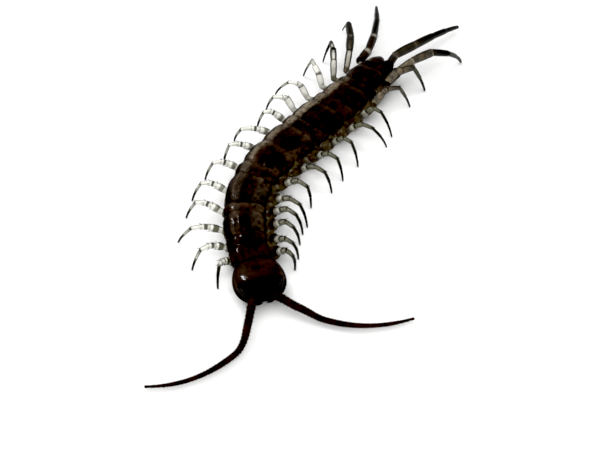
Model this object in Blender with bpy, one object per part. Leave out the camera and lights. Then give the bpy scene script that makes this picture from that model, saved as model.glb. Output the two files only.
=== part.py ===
"""Stone centipede, life size, standing: head, fifteen trunk segments, thirty legs and two antennae.

Sizes are in millimetres and degrees, turned into metres by MM. +Z is up, the head points towards -Y,
the tail towards +Y, and the animal's left side is towards +X. The floor is z = 0.
"""
import math

import bmesh
import bpy
from mathutils import Matrix
from mathutils import Vector

MM = 0.001

# The spine starts at the front of the head and runs back over the floor.
HEAD_FRONT = (-4.765, -13.78)
HEAD_TURN = -16.0
SPINE_BENDS = ((2.9, 4.3, 4.0), (4.5, 15.3, 52.0), (21.3, 29.5, -13.3))
SPINE_LENGTH = 29.5
PATH_STEP = 0.02

# Neighbouring parts keep this gap, and the belly this height over the floor.
GAP = 0.06
BELLY = 0.32
# Edges that turn more than this many degrees stay sharp.
SHARP_ANGLE = 50.0
# Points of a tube's caps that lie closer than this become one.
WELD = 0.0006
# Extra points round each quarter of a tube.
TUBE_RESOLUTION = 2

# The head is a low dome with a rounded front on a flat base.
HEAD_LENGTH = 3.35
HEAD_HALF_WIDTH = 1.83
HEAD_REAR_HALF_WIDTH = 1.28
HEAD_WIDEST_AT = 1.65
HEAD_BASE = 0.98
HEAD_EDGE = 1.42
HEAD_TOP = 2.04
HEAD_TOP_AT = 1.5
HEAD_REAR_TOP = 1.88
HEAD_FRONT_ROUNDING = 2.3
HEAD_REAR_ROUNDING = 2.2
HEAD_RINGS = 9
HEAD_FIRST_RING = 0.35
# Its left half from top to base: share of the half width, share of the height.
HEAD_SECTION = (
    (0.0, 1.0), (0.40, 0.95), (0.72, 0.77), (0.93, 0.48),
    (1.0, 0.26), (0.93, 0.06), (0.66, 0.0), (0.30, 0.0),
)

# Each cluster of ocelli is an oval lens in a pocket on the side of the head.
EYE_PLACE = (0.98, 1.36, 1.52)
EYE_RADII = (0.15, 0.36, 0.24)
EYE_LEAN = 48.0
EYE_TURN = 24.0

# The forcipules, the poison claws, lie under the head beside their base plate.
FORCIPULE_HEIGHT = 0.60
# Along a forcipule: mm behind the head's front, mm out from its middle, and radius.
FORCIPULE_PATH = (
    (2.15, 1.17, 0.27),
    (1.75, 1.27, 0.31),
    (1.25, 1.22, 0.30),
    (0.80, 0.98, 0.25),
    (0.48, 0.66, 0.19),
    (0.36, 0.36, 0.13),
    (0.36, 0.12, 0.07),
)
# Bottom and top of the base plate, and its half widths from front to rear.
PLATE_HEIGHTS = (0.36, 0.90)
PLATE_RINGS = ((1.42, 0.46), (1.70, 0.62), (2.40, 0.78), (3.10, 0.80))

# One row for each trunk segment: length, half width and height of the back.
TRUNK = (
    (1.40, 1.40, 1.92),
    (0.95, 1.42, 1.92),
    (1.85, 1.50, 1.98),
    (0.80, 1.50, 1.98),
    (2.60, 1.54, 2.06),
    (1.15, 1.62, 2.06),
    (2.25, 1.76, 2.16),
    (2.30, 1.90, 2.24),
    (1.05, 1.94, 2.20),
    (2.45, 1.98, 2.28),
    (1.15, 1.96, 2.24),
    (2.05, 1.90, 2.26),
    (0.85, 1.78, 2.16),
    (2.15, 1.60, 2.12),
    (0.95, 1.36, 1.92),
)
TELSON = (1.30, 1.00, 1.72)

# A trunk section's left half from back to belly: share of the half width, share of the height.
TRUNK_SECTION = (
    (0.0, 1.0), (0.42, 0.97), (0.78, 0.84), (1.0, 0.60),
    (0.88, 0.50), (0.92, 0.30), (0.72, 0.07), (0.34, 0.0),
)
# Along a segment: share of the length, share of the half width, drop of the back.
SEGMENT_RINGS = ((0.0, 0.91, 0.10), (0.30, 0.98, 0.03), (0.80, 1.0, 0.0), (1.0, 0.95, 0.04))
TELSON_RINGS = ((0.0, 0.94, 0.05), (0.35, 1.0, 0.0), (0.72, 0.86, 0.12), (1.0, 0.50, 0.42))

# Where each pair of legs grows, as mm behind the head's front.
LEG_STATIONS = (4.05, 5.2, 6.6, 8.0, 9.7, 11.7, 13.8, 15.8, 17.5, 19.3, 21.1, 22.8, 24.5, 26.1, 27.4)
# How each leg stands: the swing of the upper leg from straight out, forwards positive, its reach over
# the floor from coxa to knee, the height of the knee, how far its middle bows sideways, forwards
# positive, the turn of the tarsus and its step over the floor.
RIGHT_LEGS = (
    (34, 0.74, 1.30, 0.00, 72, 1.11),
    (6, 1.64, 1.42, -0.01, 38, 1.07),
    (-4, 2.10, 1.36, 0.03, 8, 1.12),
    (-18, 2.01, 1.34, -0.01, 31, 0.96),
    (0, 1.90, 1.43, -0.01, 50, 1.00),
    (21, 1.86, 1.46, -0.02, 62, 0.89),
    (39, 1.91, 1.51, 0.12, 94, 1.01),
    (42, 2.32, 1.52, 0.09, 29, 0.68),
    (28, 1.66, 1.69, 0.03, 58, 0.65),
    (21, 2.17, 1.72, 0.02, 26, 0.72),
    (12, 2.27, 1.78, 0.03, 21, 1.29),
    (-24, 2.71, 1.90, 0.28, 34, 0.78),
    (-43, 3.44, 2.09, 0.20, 55, 0.72),
    (-57, 4.96, 1.79, -0.06, -46, 1.62),
    (-81, 5.40, 1.29, -0.26, -63, 3.41),
)
LEFT_LEGS = (
    (34, 1.19, 1.35, 0.04, 80, 0.39),
    (32, 1.42, 1.38, 0.12, 61, 0.59),
    (24, 1.57, 1.50, 0.00, 56, 0.69),
    (15, 1.82, 1.50, -0.01, 56, 0.88),
    (11, 2.00, 1.44, 0.09, 50, 1.19),
    (-5, 1.93, 1.61, 0.04, 45, 0.82),
    (-17, 2.18, 1.71, 0.09, 14, 0.87),
    (-17, 1.85, 1.70, 0.13, 22, 0.99),
    (-28, 1.71, 1.77, 0.08, 22, 1.19),
    (-33, 2.25, 1.83, 0.06, -24, 1.29),
    (-43, 1.84, 1.89, -0.03, 7, 1.42),
    (-69, 2.81, 2.00, -0.12, -25, 1.10),
    (-76, 3.75, 2.21, -0.06, 1, 1.37),
    (-57, 5.61, 2.20, -0.55, -75, 2.32),
    (-79, 5.75, 1.49, -0.57, -71, 3.80),
)
# The last pair trails behind with its tips held off the floor.
TRAILING_TIP = 0.60
# A coxa starts beside the flank and turns by a share of its leg's swing.
LEG_ROOT_HEIGHT = 0.95
FLANK_SHARE = 0.92
ROOT_CLEARANCE = 0.08
ROOT_REACH = 0.3
COXA_LENGTH = 0.40
COXA_RISE = 0.10
COXA_TURN = 0.5
# Height of the femur's end over the knee on each side, and in the long rear legs.
CREST = {"right": 0.20, "left": 0.42, "long": 0.15}
LONG_LEGS_FROM = 13
# Where the ends of prefemur and femur lie between coxa and knee, and how far up the arch they are.
JOINT_SHARES = (0.36, 0.63)
LAST_JOINT_SHARES = {14: (0.45, 0.76), 15: (0.36, 0.68)}
JOINT_RISES = (0.72, 1.0)
LONG_JOINT_RISES = (0.92, 1.0)
# Thickness along a leg, as radii: coxa, prefemur, femur, tibia, tarsus, and the narrow joints.
LEG_RADII = {"coxa": 0.30, "prefemur": 0.31, "femur": 0.28, "tibia": 0.27, "tarsus": 0.25, "joint": 0.25}
# Where prefemur, femur and tibia are thickest, as shares of their lengths.
PODOMERE_MIDDLES = (0.5, 0.6, 0.5)
# The last legs are stouter.
STOUT_LEGS = {13: 1.05, 14: 1.15, 15: 1.30}
# Share of the step, and of the way down, at points along the bowed tarsus.
TARSUS_BOW = ((0.42, 0.33), (0.76, 0.67))

# An antenna: how far from the head's front and middle it starts, its turn away from straight ahead
# and the bends along it, its length, the lengths it is parted into, and its heights and radii.
ANTENNA_ROOT = (0.38, 0.78)
ANTENNAE = {
    "right": (25.0, ((2.0, 4.4, 38.0), (3.0, 10.8, 44.0)), 9.95),
    "left": (47.0, ((0.5, 6.2, 10.0), (2.1, 10.7, 37.0)), 9.7),
}
SOCKET_LENGTH = 0.9
ANTENNA_LENGTHS = 3
ANTENNA_HEIGHTS = ((0.0, 1.20), (1.8, 0.88), (3.6, 0.52), (10.2, 0.34))
ANTENNA_RADII = ((0.0, 0.29), (3.0, 0.27), (9.0, 0.25), (10.0, 0.22))
ANTENNA_STEP = 0.56

# Colour, roughness and metallic value of each finish.
FINISHES = {
    "head": ((0.060, 0.012, 0.006), 0.22, 0.0),
    "trunk": ((0.050, 0.022, 0.010), 0.32, 0.0),
    "leg": ((0.42, 0.36, 0.22), 0.38, 0.0),
    "dark_leg": ((0.085, 0.045, 0.022), 0.34, 0.0),
    "antenna": ((0.055, 0.024, 0.014), 0.45, 0.0),
    "ocelli": ((0.008, 0.006, 0.006), 0.12, 0.0),
    "forcipule": ((0.16, 0.055, 0.018), 0.25, 0.0),
}
DARK_LEGS_FROM = 14


def clear_scene():
    for obj in list(bpy.data.objects):
        bpy.data.objects.remove(obj, do_unlink=True)


def make_collection(name):
    collection = bpy.data.collections.new(name)
    bpy.context.scene.collection.children.link(collection)
    return collection


def make_finish(name):
    colour, roughness, metallic = FINISHES[name]
    material = bpy.data.materials.new(name)
    material.use_nodes = True
    shader = material.node_tree.nodes["Principled BSDF"]
    shader.inputs["Base Color"].default_value = (*colour, 1.0)
    shader.inputs["Roughness"].default_value = roughness
    shader.inputs["Metallic"].default_value = metallic
    return material


def add_part(name, mesh, finish):
    """Adds a finished mesh, whose points are in metres, as one named part."""
    mesh.name = name
    mesh.materials.clear()
    mesh.materials.append(FINISH[finish])
    mesh.shade_smooth()
    mesh.set_sharp_from_angle(angle=math.radians(SHARP_ANGLE))
    part = bpy.data.objects.new(name, mesh)
    PARTS.objects.link(part)
    return part


def eased(value, rows):
    """Value read from (place, value) rows, with a smooth step between one row and the next."""
    if value <= rows[0][0]:
        return rows[0][1]
    for (start, low), (end, high) in zip(rows, rows[1:]):
        if value <= end:
            share = (value - start) / (end - start)
            return low + (high - low) * share * share * (3.0 - 2.0 * share)
    return rows[-1][1]


def bent_heading(s, first, bends):
    """Heading in degrees at s along a path that starts at one heading and turns through some bends."""
    return first + sum(eased(s, ((start, 0.0), (end, turn))) for start, end, turn in bends)


def spine_heading(s):
    return math.radians(bent_heading(s, HEAD_TURN, SPINE_BENDS))


def trace_spine():
    """Places along the spine, one for each step from the front of the head."""
    x, y = HEAD_FRONT
    places = [Vector((x, y, 0.0))]
    for step in range(round(SPINE_LENGTH / PATH_STEP)):
        heading = spine_heading((step + 0.5) * PATH_STEP)
        x += math.sin(heading) * PATH_STEP
        y += math.cos(heading) * PATH_STEP
        places.append(Vector((x, y, 0.0)))
    return places


def spine_frame(s):
    """Place on the spine s mm behind the head's front, with the ways towards the head and the left."""
    step = min(len(SPINE) - 2, int(s / PATH_STEP))
    place = SPINE[step].lerp(SPINE[step + 1], s / PATH_STEP - step)
    heading = spine_heading(s)
    ahead = Vector((-math.sin(heading), -math.cos(heading), 0.0))
    left = Vector((math.cos(heading), -math.sin(heading), 0.0))
    return place, ahead, left


def head_point(back, out, height):
    """Point of the head: mm behind its front, mm to the left of its middle, and height."""
    place, _, left = spine_frame(0.0)
    heading = spine_heading(0.0)
    rearward = Vector((math.sin(heading), math.cos(heading), 0.0))
    return place + rearward * back + left * out + Vector((0.0, 0.0, height))


def closed_ring(section, half_width, bottom, top, place):
    """A whole ring from the left half of a section. place turns (left, height) into a point."""
    points = []
    height = top - bottom
    for out, up in section:
        points.append(place(out * half_width, bottom + up * height))
    for out, up in reversed(section[1:]):
        points.append(place(-out * half_width, bottom + up * height))
    return points


def loft(rings):
    """Closed mesh through rings of equally many points, with a flat cap at each end."""
    bm = bmesh.new()
    rows = [[bm.verts.new(point * MM) for point in ring] for ring in rings]
    count = len(rows[0])
    for row, following in zip(rows, rows[1:]):
        for i in range(count):
            j = (i + 1) % count
            bm.faces.new((row[i], row[j], following[j], following[i]))
    bm.faces.new(rows[0])
    bm.faces.new(reversed(rows[-1]))
    bmesh.ops.recalc_face_normals(bm, faces=bm.faces[:])
    mesh = bpy.data.meshes.new("loft")
    bm.to_mesh(mesh)
    bm.free()
    return mesh


def tube(points):
    """Closed tube mesh through (point, radius) pairs, made from a bevelled curve."""
    data = bpy.data.curves.new("tube", "CURVE")
    data.dimensions = "3D"
    data.bevel_depth = MM
    data.bevel_resolution = TUBE_RESOLUTION
    data.use_fill_caps = True
    spline = data.splines.new("POLY")
    spline.points.add(len(points) - 1)
    for knot, (point, radius) in zip(spline.points, points):
        knot.co = (*(point * MM), 1.0)
        knot.radius = radius
    curve = bpy.data.objects.new("tube", data)
    PARTS.objects.link(curve)
    graph = bpy.context.evaluated_depsgraph_get()
    mesh = bpy.data.meshes.new_from_object(curve.evaluated_get(graph))
    bpy.data.objects.remove(curve, do_unlink=True)
    bm = bmesh.new()
    bm.from_mesh(mesh)
    bmesh.ops.remove_doubles(bm, verts=bm.verts[:], dist=WELD * MM)
    bmesh.ops.recalc_face_normals(bm, faces=bm.faces[:])
    bm.to_mesh(mesh)
    bm.free()
    return mesh


def trim_at_floor(mesh):
    """Cuts away what is under the floor, which leaves a small flat sole."""
    bm = bmesh.new()
    bm.from_mesh(mesh)
    everything = bm.verts[:] + bm.edges[:] + bm.faces[:]
    floor = {"plane_co": (0, 0, 0), "plane_no": (0, 0, 1)}
    cut = bmesh.ops.bisect_plane(bm, geom=everything, clear_inner=True, **floor)
    rim = [item for item in cut["geom_cut"] if isinstance(item, bmesh.types.BMEdge)]
    bmesh.ops.contextual_create(bm, geom=rim)
    bmesh.ops.recalc_face_normals(bm, faces=bm.faces[:])
    bm.to_mesh(mesh)
    bm.free()


def head_half_width(back):
    if back < HEAD_WIDEST_AT:
        share = 1.0 - back / HEAD_WIDEST_AT
        return HEAD_HALF_WIDTH * math.sqrt(1.0 - share ** HEAD_FRONT_ROUNDING)
    share = (back - HEAD_WIDEST_AT) / (HEAD_LENGTH - HEAD_WIDEST_AT)
    return HEAD_HALF_WIDTH - (HEAD_HALF_WIDTH - HEAD_REAR_HALF_WIDTH) * share ** HEAD_REAR_ROUNDING


def head_top(back):
    return eased(back, ((0.0, HEAD_EDGE), (HEAD_TOP_AT, HEAD_TOP), (HEAD_LENGTH, HEAD_REAR_TOP)))


def cut_pocket(mesh, cutter_mesh):
    """The mesh less a cutter, both in metres."""
    part = bpy.data.objects.new("cut", mesh)
    cutter = bpy.data.objects.new("pocket", cutter_mesh)
    PARTS.objects.link(part)
    CUTTERS.objects.link(cutter)
    cutter.hide_render = True
    cutter.display_type = "WIRE"
    boolean = part.modifiers.new("pocket", "BOOLEAN")
    boolean.operation = "DIFFERENCE"
    boolean.solver = "EXACT"
    boolean.object = cutter
    graph = bpy.context.evaluated_depsgraph_get()
    result = bpy.data.meshes.new_from_object(part.evaluated_get(graph))
    bpy.data.objects.remove(part, do_unlink=True)
    return result


def eye_mesh(side, growth):
    """Oval lens on the side of the head, grown all round by some mm."""
    bm = bmesh.new()
    bmesh.ops.create_uvsphere(bm, u_segments=12, v_segments=7, radius=1.0)
    radii = [(radius + growth) * MM for radius in EYE_RADII]
    heading = -spine_heading(0.0)
    back, out, height = EYE_PLACE
    place = (
        Matrix.Translation(head_point(back, side * out, height) * MM)
        @ Matrix.Rotation(heading, 4, "Z")
        @ Matrix.Rotation(math.radians(side * EYE_TURN), 4, "Z")
        @ Matrix.Rotation(math.radians(-side * EYE_LEAN), 4, "Y")
        @ Matrix.Diagonal((*radii, 1.0))
    )
    bmesh.ops.transform(bm, matrix=place, verts=bm.verts[:])
    mesh = bpy.data.meshes.new("eye")
    bm.to_mesh(mesh)
    bm.free()
    return mesh


def antenna_route(side_name):
    """Points of an antenna, one for each small step from its root on the head."""
    side = SIDES[side_name]
    first, bends, length = ANTENNAE[side_name]
    back, out = ANTENNA_ROOT
    point = head_point(back, side * out, 0.0)
    _, ahead, left = spine_frame(0.0)
    count = round(length / PATH_STEP)
    route = []
    for step in range(count + 1):
        s = step * length / count
        route.append(point + Vector((0.0, 0.0, eased(s, ANTENNA_HEIGHTS))))
        turn = math.radians(bent_heading(s, first, bends))
        point = point + (ahead * math.cos(turn) + left * side * math.sin(turn)) * length / count
    return route


def antenna_socket(side_name):
    """Room in the head for the root of an antenna."""
    route = antenna_route(side_name)
    radius = ANTENNA_RADII[0][1] + GAP
    inward = (route[0] - route[1]).normalized()
    return tube([(route[0] + inward * GAP, radius), (route[round(SOCKET_LENGTH / PATH_STEP)], radius)])


def add_head():
    rings = []
    for step in range(HEAD_RINGS):
        share = (step + HEAD_FIRST_RING) / (HEAD_RINGS - 1.0 + HEAD_FIRST_RING)
        back = HEAD_LENGTH * (1.0 - math.cos(share * math.pi / 2.0))
        rings.append(closed_ring(HEAD_SECTION, head_half_width(back), HEAD_BASE, head_top(back),
                                 lambda out, height, back=back: head_point(back, out, height)))
    mesh = loft(rings)
    for name, side in SIDES.items():
        mesh = cut_pocket(mesh, eye_mesh(side, GAP))
        mesh = cut_pocket(mesh, antenna_socket(name))
    add_part("head", mesh, "head")
    for name, side in SIDES.items():
        add_part(f"eye_{name}", eye_mesh(side, 0.0), "ocelli")


def add_forcipules():
    bottom, top = PLATE_HEIGHTS
    rings = []
    for back, half_width in PLATE_RINGS:
        rings.append(closed_ring(HEAD_SECTION, half_width, bottom, top,
                                 lambda out, height, back=back: head_point(back, out, bottom + top - height)))
    add_part("forcipule_plate", loft(rings), "forcipule")
    for name, side in SIDES.items():
        points = []
        for back, out, radius in FORCIPULE_PATH:
            points.append((head_point(back, side * out, FORCIPULE_HEIGHT), radius))
        add_part(f"forcipule_{name}", tube(points), "forcipule")


def body_solid(start, length, half_width, top, rings):
    """Length of the body between two flat faces across the spine."""
    lofted = []
    for along, wide, drop in rings:
        s = start + GAP / 2.0 + along * (length - GAP)
        place, _, left = spine_frame(s)
        lofted.append(closed_ring(TRUNK_SECTION, half_width * wide, BELLY, top - drop,
                                  lambda out, height, o=place, n=left: o + n * out + Vector((0, 0, height))))
    return loft(lofted)


def segment_start(index):
    return HEAD_LENGTH + sum(row[0] for row in TRUNK[:index])


def add_trunk():
    for index, (length, half_width, top) in enumerate(TRUNK):
        mesh = body_solid(segment_start(index), length, half_width, top, SEGMENT_RINGS)
        add_part(f"trunk_{index + 1:02d}", mesh, "trunk")
    length, half_width, top = TELSON
    add_part("telson", body_solid(segment_start(len(TRUNK)), length, half_width, top, TELSON_RINGS), "trunk")


def flank_half_width(s):
    """Half width of the trunk beside a leg that grows s mm behind the head's front."""
    widths = []
    for index, (length, half_width, _) in enumerate(TRUNK):
        start = segment_start(index)
        if start - ROOT_REACH < s < start + length + ROOT_REACH:
            widths.append(half_width)
    return max(widths)


def leg_points(side_name, index):
    """Joints of one leg as (point, radius) pairs, from the coxa's root to the tip."""
    number = index + 1
    swing, reach, knee_height, bow, toe, step = LEG_STANDS[side_name][index]
    place, ahead, left = spine_frame(LEG_STATIONS[index])
    out = left * SIDES[side_name]
    up = Vector((0.0, 0.0, 1.0))

    def turned(angle):
        return out * math.cos(math.radians(angle)) + ahead * math.sin(math.radians(angle))

    root_out = flank_half_width(LEG_STATIONS[index]) * FLANK_SHARE + ROOT_CLEARANCE
    root = place + out * root_out + up * LEG_ROOT_HEIGHT
    coxa_end = root + turned(swing * COXA_TURN) * COXA_LENGTH + up * COXA_RISE
    knee = coxa_end + turned(swing) * reach
    knee.z = knee_height
    long_leg = number >= LONG_LEGS_FROM
    crest = CREST["long"] if long_leg else CREST[side_name]
    rises = LONG_JOINT_RISES if long_leg else JOINT_RISES
    joints = []
    for share, rise in zip(LAST_JOINT_SHARES.get(number, JOINT_SHARES), rises):
        joint = coxa_end.lerp(knee, share) + turned(swing + 90.0) * bow
        joint.z = coxa_end.z + (knee_height + crest - coxa_end.z) * rise
        joints.append(joint)
    prefemur_end, femur_end = joints
    tip = knee + turned(toe) * step
    tip.z = TRAILING_TIP if number == len(TRUNK) else -GAP

    radius = {name: value * STOUT_LEGS.get(number, 1.0) for name, value in LEG_RADII.items()}
    points = [
        (root, radius["coxa"]),
        (coxa_end, radius["joint"]),
        (coxa_end.lerp(prefemur_end, PODOMERE_MIDDLES[0]), radius["prefemur"]),
        (prefemur_end, radius["joint"]),
        (prefemur_end.lerp(femur_end, PODOMERE_MIDDLES[1]), radius["femur"]),
        (femur_end, radius["joint"]),
        (femur_end.lerp(knee, PODOMERE_MIDDLES[2]), radius["tibia"]),
        (knee, radius["joint"]),
    ]
    for along, down in TARSUS_BOW:
        point = knee.lerp(tip, along)
        point.z = knee.z + (tip.z - knee.z) * down
        points.append((point, LEG_RADII["tarsus"]))
    points.append((tip, LEG_RADII["tarsus"]))
    return points


def add_legs():
    for name in SIDES:
        for index in range(len(TRUNK)):
            mesh = tube(leg_points(name, index))
            trim_at_floor(mesh)
            finish = "dark_leg" if index + 1 >= DARK_LEGS_FROM else "leg"
            add_part(f"leg_{name}_{index + 1:02d}", mesh, finish)


def add_antennae():
    for name in SIDES:
        route = antenna_route(name)
        length = ANTENNAE[name][2]
        share = length / ANTENNA_LENGTHS
        for piece in range(ANTENNA_LENGTHS):
            start = piece * share + (GAP / 2.0 if piece else 0.0)
            end = (piece + 1) * share - GAP / 2.0
            rings = math.ceil((end - start) / ANTENNA_STEP)
            points = []
            for ring in range(rings + 1):
                s = start + (end - start) * ring / rings
                point = route[round(s / length * (len(route) - 1))]
                points.append((point, eased(s, ANTENNA_RADII)))
            add_part(f"antenna_{name}_{piece + 1}", tube(points), "antenna")


SIDES = {"left": 1.0, "right": -1.0}
LEG_STANDS = {"left": LEFT_LEGS, "right": RIGHT_LEGS}

clear_scene()
PARTS = make_collection("stone_centipede")
CUTTERS = make_collection("cutters")
FINISH = {name: make_finish(name) for name in FINISHES}
SPINE = trace_spine()
add_head()
add_forcipules()
add_trunk()
add_legs()
add_antennae()
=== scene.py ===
import math
import random

import bmesh
import bpy
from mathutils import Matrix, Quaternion, Vector, noise


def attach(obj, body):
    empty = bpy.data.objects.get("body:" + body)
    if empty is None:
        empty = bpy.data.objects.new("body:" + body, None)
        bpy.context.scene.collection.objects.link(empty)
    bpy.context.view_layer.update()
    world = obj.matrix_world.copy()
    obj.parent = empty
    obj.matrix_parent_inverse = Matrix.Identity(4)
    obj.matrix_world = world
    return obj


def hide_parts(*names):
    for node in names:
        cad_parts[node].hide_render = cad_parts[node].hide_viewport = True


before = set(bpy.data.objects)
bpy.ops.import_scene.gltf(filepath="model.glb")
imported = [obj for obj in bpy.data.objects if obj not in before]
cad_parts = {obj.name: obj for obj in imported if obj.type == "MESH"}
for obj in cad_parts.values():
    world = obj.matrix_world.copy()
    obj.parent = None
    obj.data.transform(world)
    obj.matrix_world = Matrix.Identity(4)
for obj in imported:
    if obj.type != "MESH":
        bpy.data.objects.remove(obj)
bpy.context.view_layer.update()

# Everything below is in millimetres and degrees, until a mesh is made.
mm = 0.001
up = Vector((0.0, 0.0, 1.0))
sides = {"left": 1.0, "right": -1.0}

camera = {
    "place": (-2.085, -40.08, 42.7),
    "tilt": 38.0,
    "lens": 43.46,
    "sensor": 36.0,
    "near": 1.0,
    "far": 3000.0,
}


def placed(name, data):
    thing = bpy.data.objects.new(name, data)
    bpy.context.scene.collection.objects.link(thing)
    return thing


def makeCamera():
    data = bpy.data.cameras.new("camera")
    data.lens = camera["lens"]
    data.sensor_width = camera["sensor"]
    data.clip_start = camera["near"] * mm
    data.clip_end = camera["far"] * mm
    shot = placed("camera", data)
    shot.location = Vector(camera["place"]) * mm
    shot.rotation_euler = (math.radians(camera["tilt"]), 0.0, 0.0)
    bpy.context.scene.camera = shot


makeCamera()
print("camera set")


# Node trees are written as sums on wires.
class Wire:
    def __init__(self, graph, socket):
        self.graph = graph
        self.socket = socket

    def sum(self, operation, first, second=None):
        return self.graph.node("ShaderNodeMath", {"operation": operation}, {0: first, 1: second})

    def __add__(self, other):
        return self.sum("ADD", self, other)

    __radd__ = __add__

    def __sub__(self, other):
        return self.sum("SUBTRACT", self, other)

    def __rsub__(self, other):
        return self.sum("SUBTRACT", other, self)

    def __mul__(self, other):
        return self.sum("MULTIPLY", self, other)

    __rmul__ = __mul__

    def __truediv__(self, other):
        return self.sum("DIVIDE", self, other)

    def least(self, other):
        return self.sum("MINIMUM", self, other)

    def most(self, other):
        return self.sum("MAXIMUM", self, other)

    def size(self):
        return self.sum("ABSOLUTE", self)


class Graph:
    def __init__(self, tree):
        self.tree = tree

    def pick(self, sockets, key):
        if isinstance(key, int):
            return sockets[key]
        return next(socket for socket in sockets if socket.name == key and socket.enabled)

    def node(self, kind, settings=None, inputs=None, output=0):
        made = self.tree.nodes.new(kind)
        for name, value in (settings or {}).items():
            setattr(made, name, value)
        for key, value in (inputs or {}).items():
            if value is None:
                continue
            socket = self.pick(made.inputs, key)
            if isinstance(value, Wire):
                self.tree.links.new(value.socket, socket)
            elif socket.type == "RGBA" and len(value) == 3:
                socket.default_value = (*value, 1.0)
            else:
                socket.default_value = value
        return Wire(self, self.pick(made.outputs, output))

    def mix(self, share, first, second):
        inputs = {"Factor": share, "A": first, "B": second}
        return self.node("ShaderNodeMix", {"data_type": "RGBA"}, inputs, "Result")

    def shift(self, operation, first, second, output="Vector"):
        settings = {"operation": operation}
        return self.node("ShaderNodeVectorMath", settings, {0: first, 1: second}, output)

    def stretch(self, vector, amount):
        return self.shift("MULTIPLY", vector, amount)

    # 0 below low, 1 above high, smooth between; low may be over high.
    def step(self, value, low, high):
        settings = {"interpolation_type": "SMOOTHSTEP"}
        inputs = {"Value": value, "From Min": low, "From Max": high, "To Min": 0.0, "To Max": 1.0}
        if low > high:
            inputs.update({"From Min": high, "From Max": low, "To Min": 1.0, "To Max": 0.0})
        return self.node("ShaderNodeMapRange", settings, inputs, "Result")

    # Scales are counts per millimetre.
    def clouds(self, vector, scale, detail=3.0, rough=0.55):
        inputs = {"Vector": vector, "Scale": scale / mm, "Detail": detail, "Roughness": rough}
        return self.node("ShaderNodeTexNoise", None, inputs, 0)

    def cells(self, vector, scale, feature="F1"):
        inputs = {"Vector": vector, "Scale": scale / mm}
        return self.node("ShaderNodeTexVoronoi", {"feature": feature}, inputs, "Distance")


class Look(Graph):
    def __init__(self, name):
        self.material = bpy.data.materials.new(name)
        self.material.use_nodes = True
        super().__init__(self.material.node_tree)
        self.shader = self.tree.nodes["Principled BSDF"]
        self.here = self.node("ShaderNodeTexCoord", None, None, "Object")

    def told(self, name):
        return self.node("ShaderNodeAttribute", {"attribute_name": name}, None, "Fac")

    def toldWay(self, name):
        return self.node("ShaderNodeAttribute", {"attribute_name": name}, None, "Vector")

    # Grain is a list of (height, depth in mm) pairs, coarse ones first.
    def wear(self, colour, roughness, grain, coat=None, **constants):
        normal = None
        for height, depth in grain:
            inputs = {"Height": height, "Distance": depth * mm, "Strength": 1.0, "Normal": normal}
            normal = self.node("ShaderNodeBump", None, inputs, "Normal")
        fed = {"Base Color": colour, "Roughness": roughness, "Normal": normal, "Coat Weight": coat}
        for name, value in fed.items():
            socket = self.shader.inputs[name]
            if isinstance(value, Wire):
                self.tree.links.new(value.socket, socket)
            elif value is not None:
                socket.default_value = value
        for name, value in constants.items():
            self.shader.inputs[name].default_value = value
        return self.material


plateLook = {
    "black": (0.0050, 0.0020, 0.0014),
    "brown": (0.0160, 0.0062, 0.0034),
    "red": (0.0760, 0.0270, 0.0130),
    "olive": (0.0500, 0.0290, 0.0170),
    # margin: the pale tan of the plates' side margins, partly pigment and partly painted sheen on the
    # animal's right, where the light falls.
    "marginAndSheen": (0.2750, 0.2220, 0.1560),
    "marginWidth": 1.20,
    # rimWidth: how far in from each plate's side the colour stays dark. It is wider on the animal's right,
    # partly as painted edge shade.
    "rimWidth": {"left": 0.15, "right": 0.46},
    "centreAcross": (0.04, 0.78),
    "centreAlong": (0.42, 0.66),
    "neck": ((3.8, 0.6), (4.8, 0.0)),
    "hairyRims": (0.16, 0.1),
    "hairyMiddle": 0.08,
}


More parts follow.
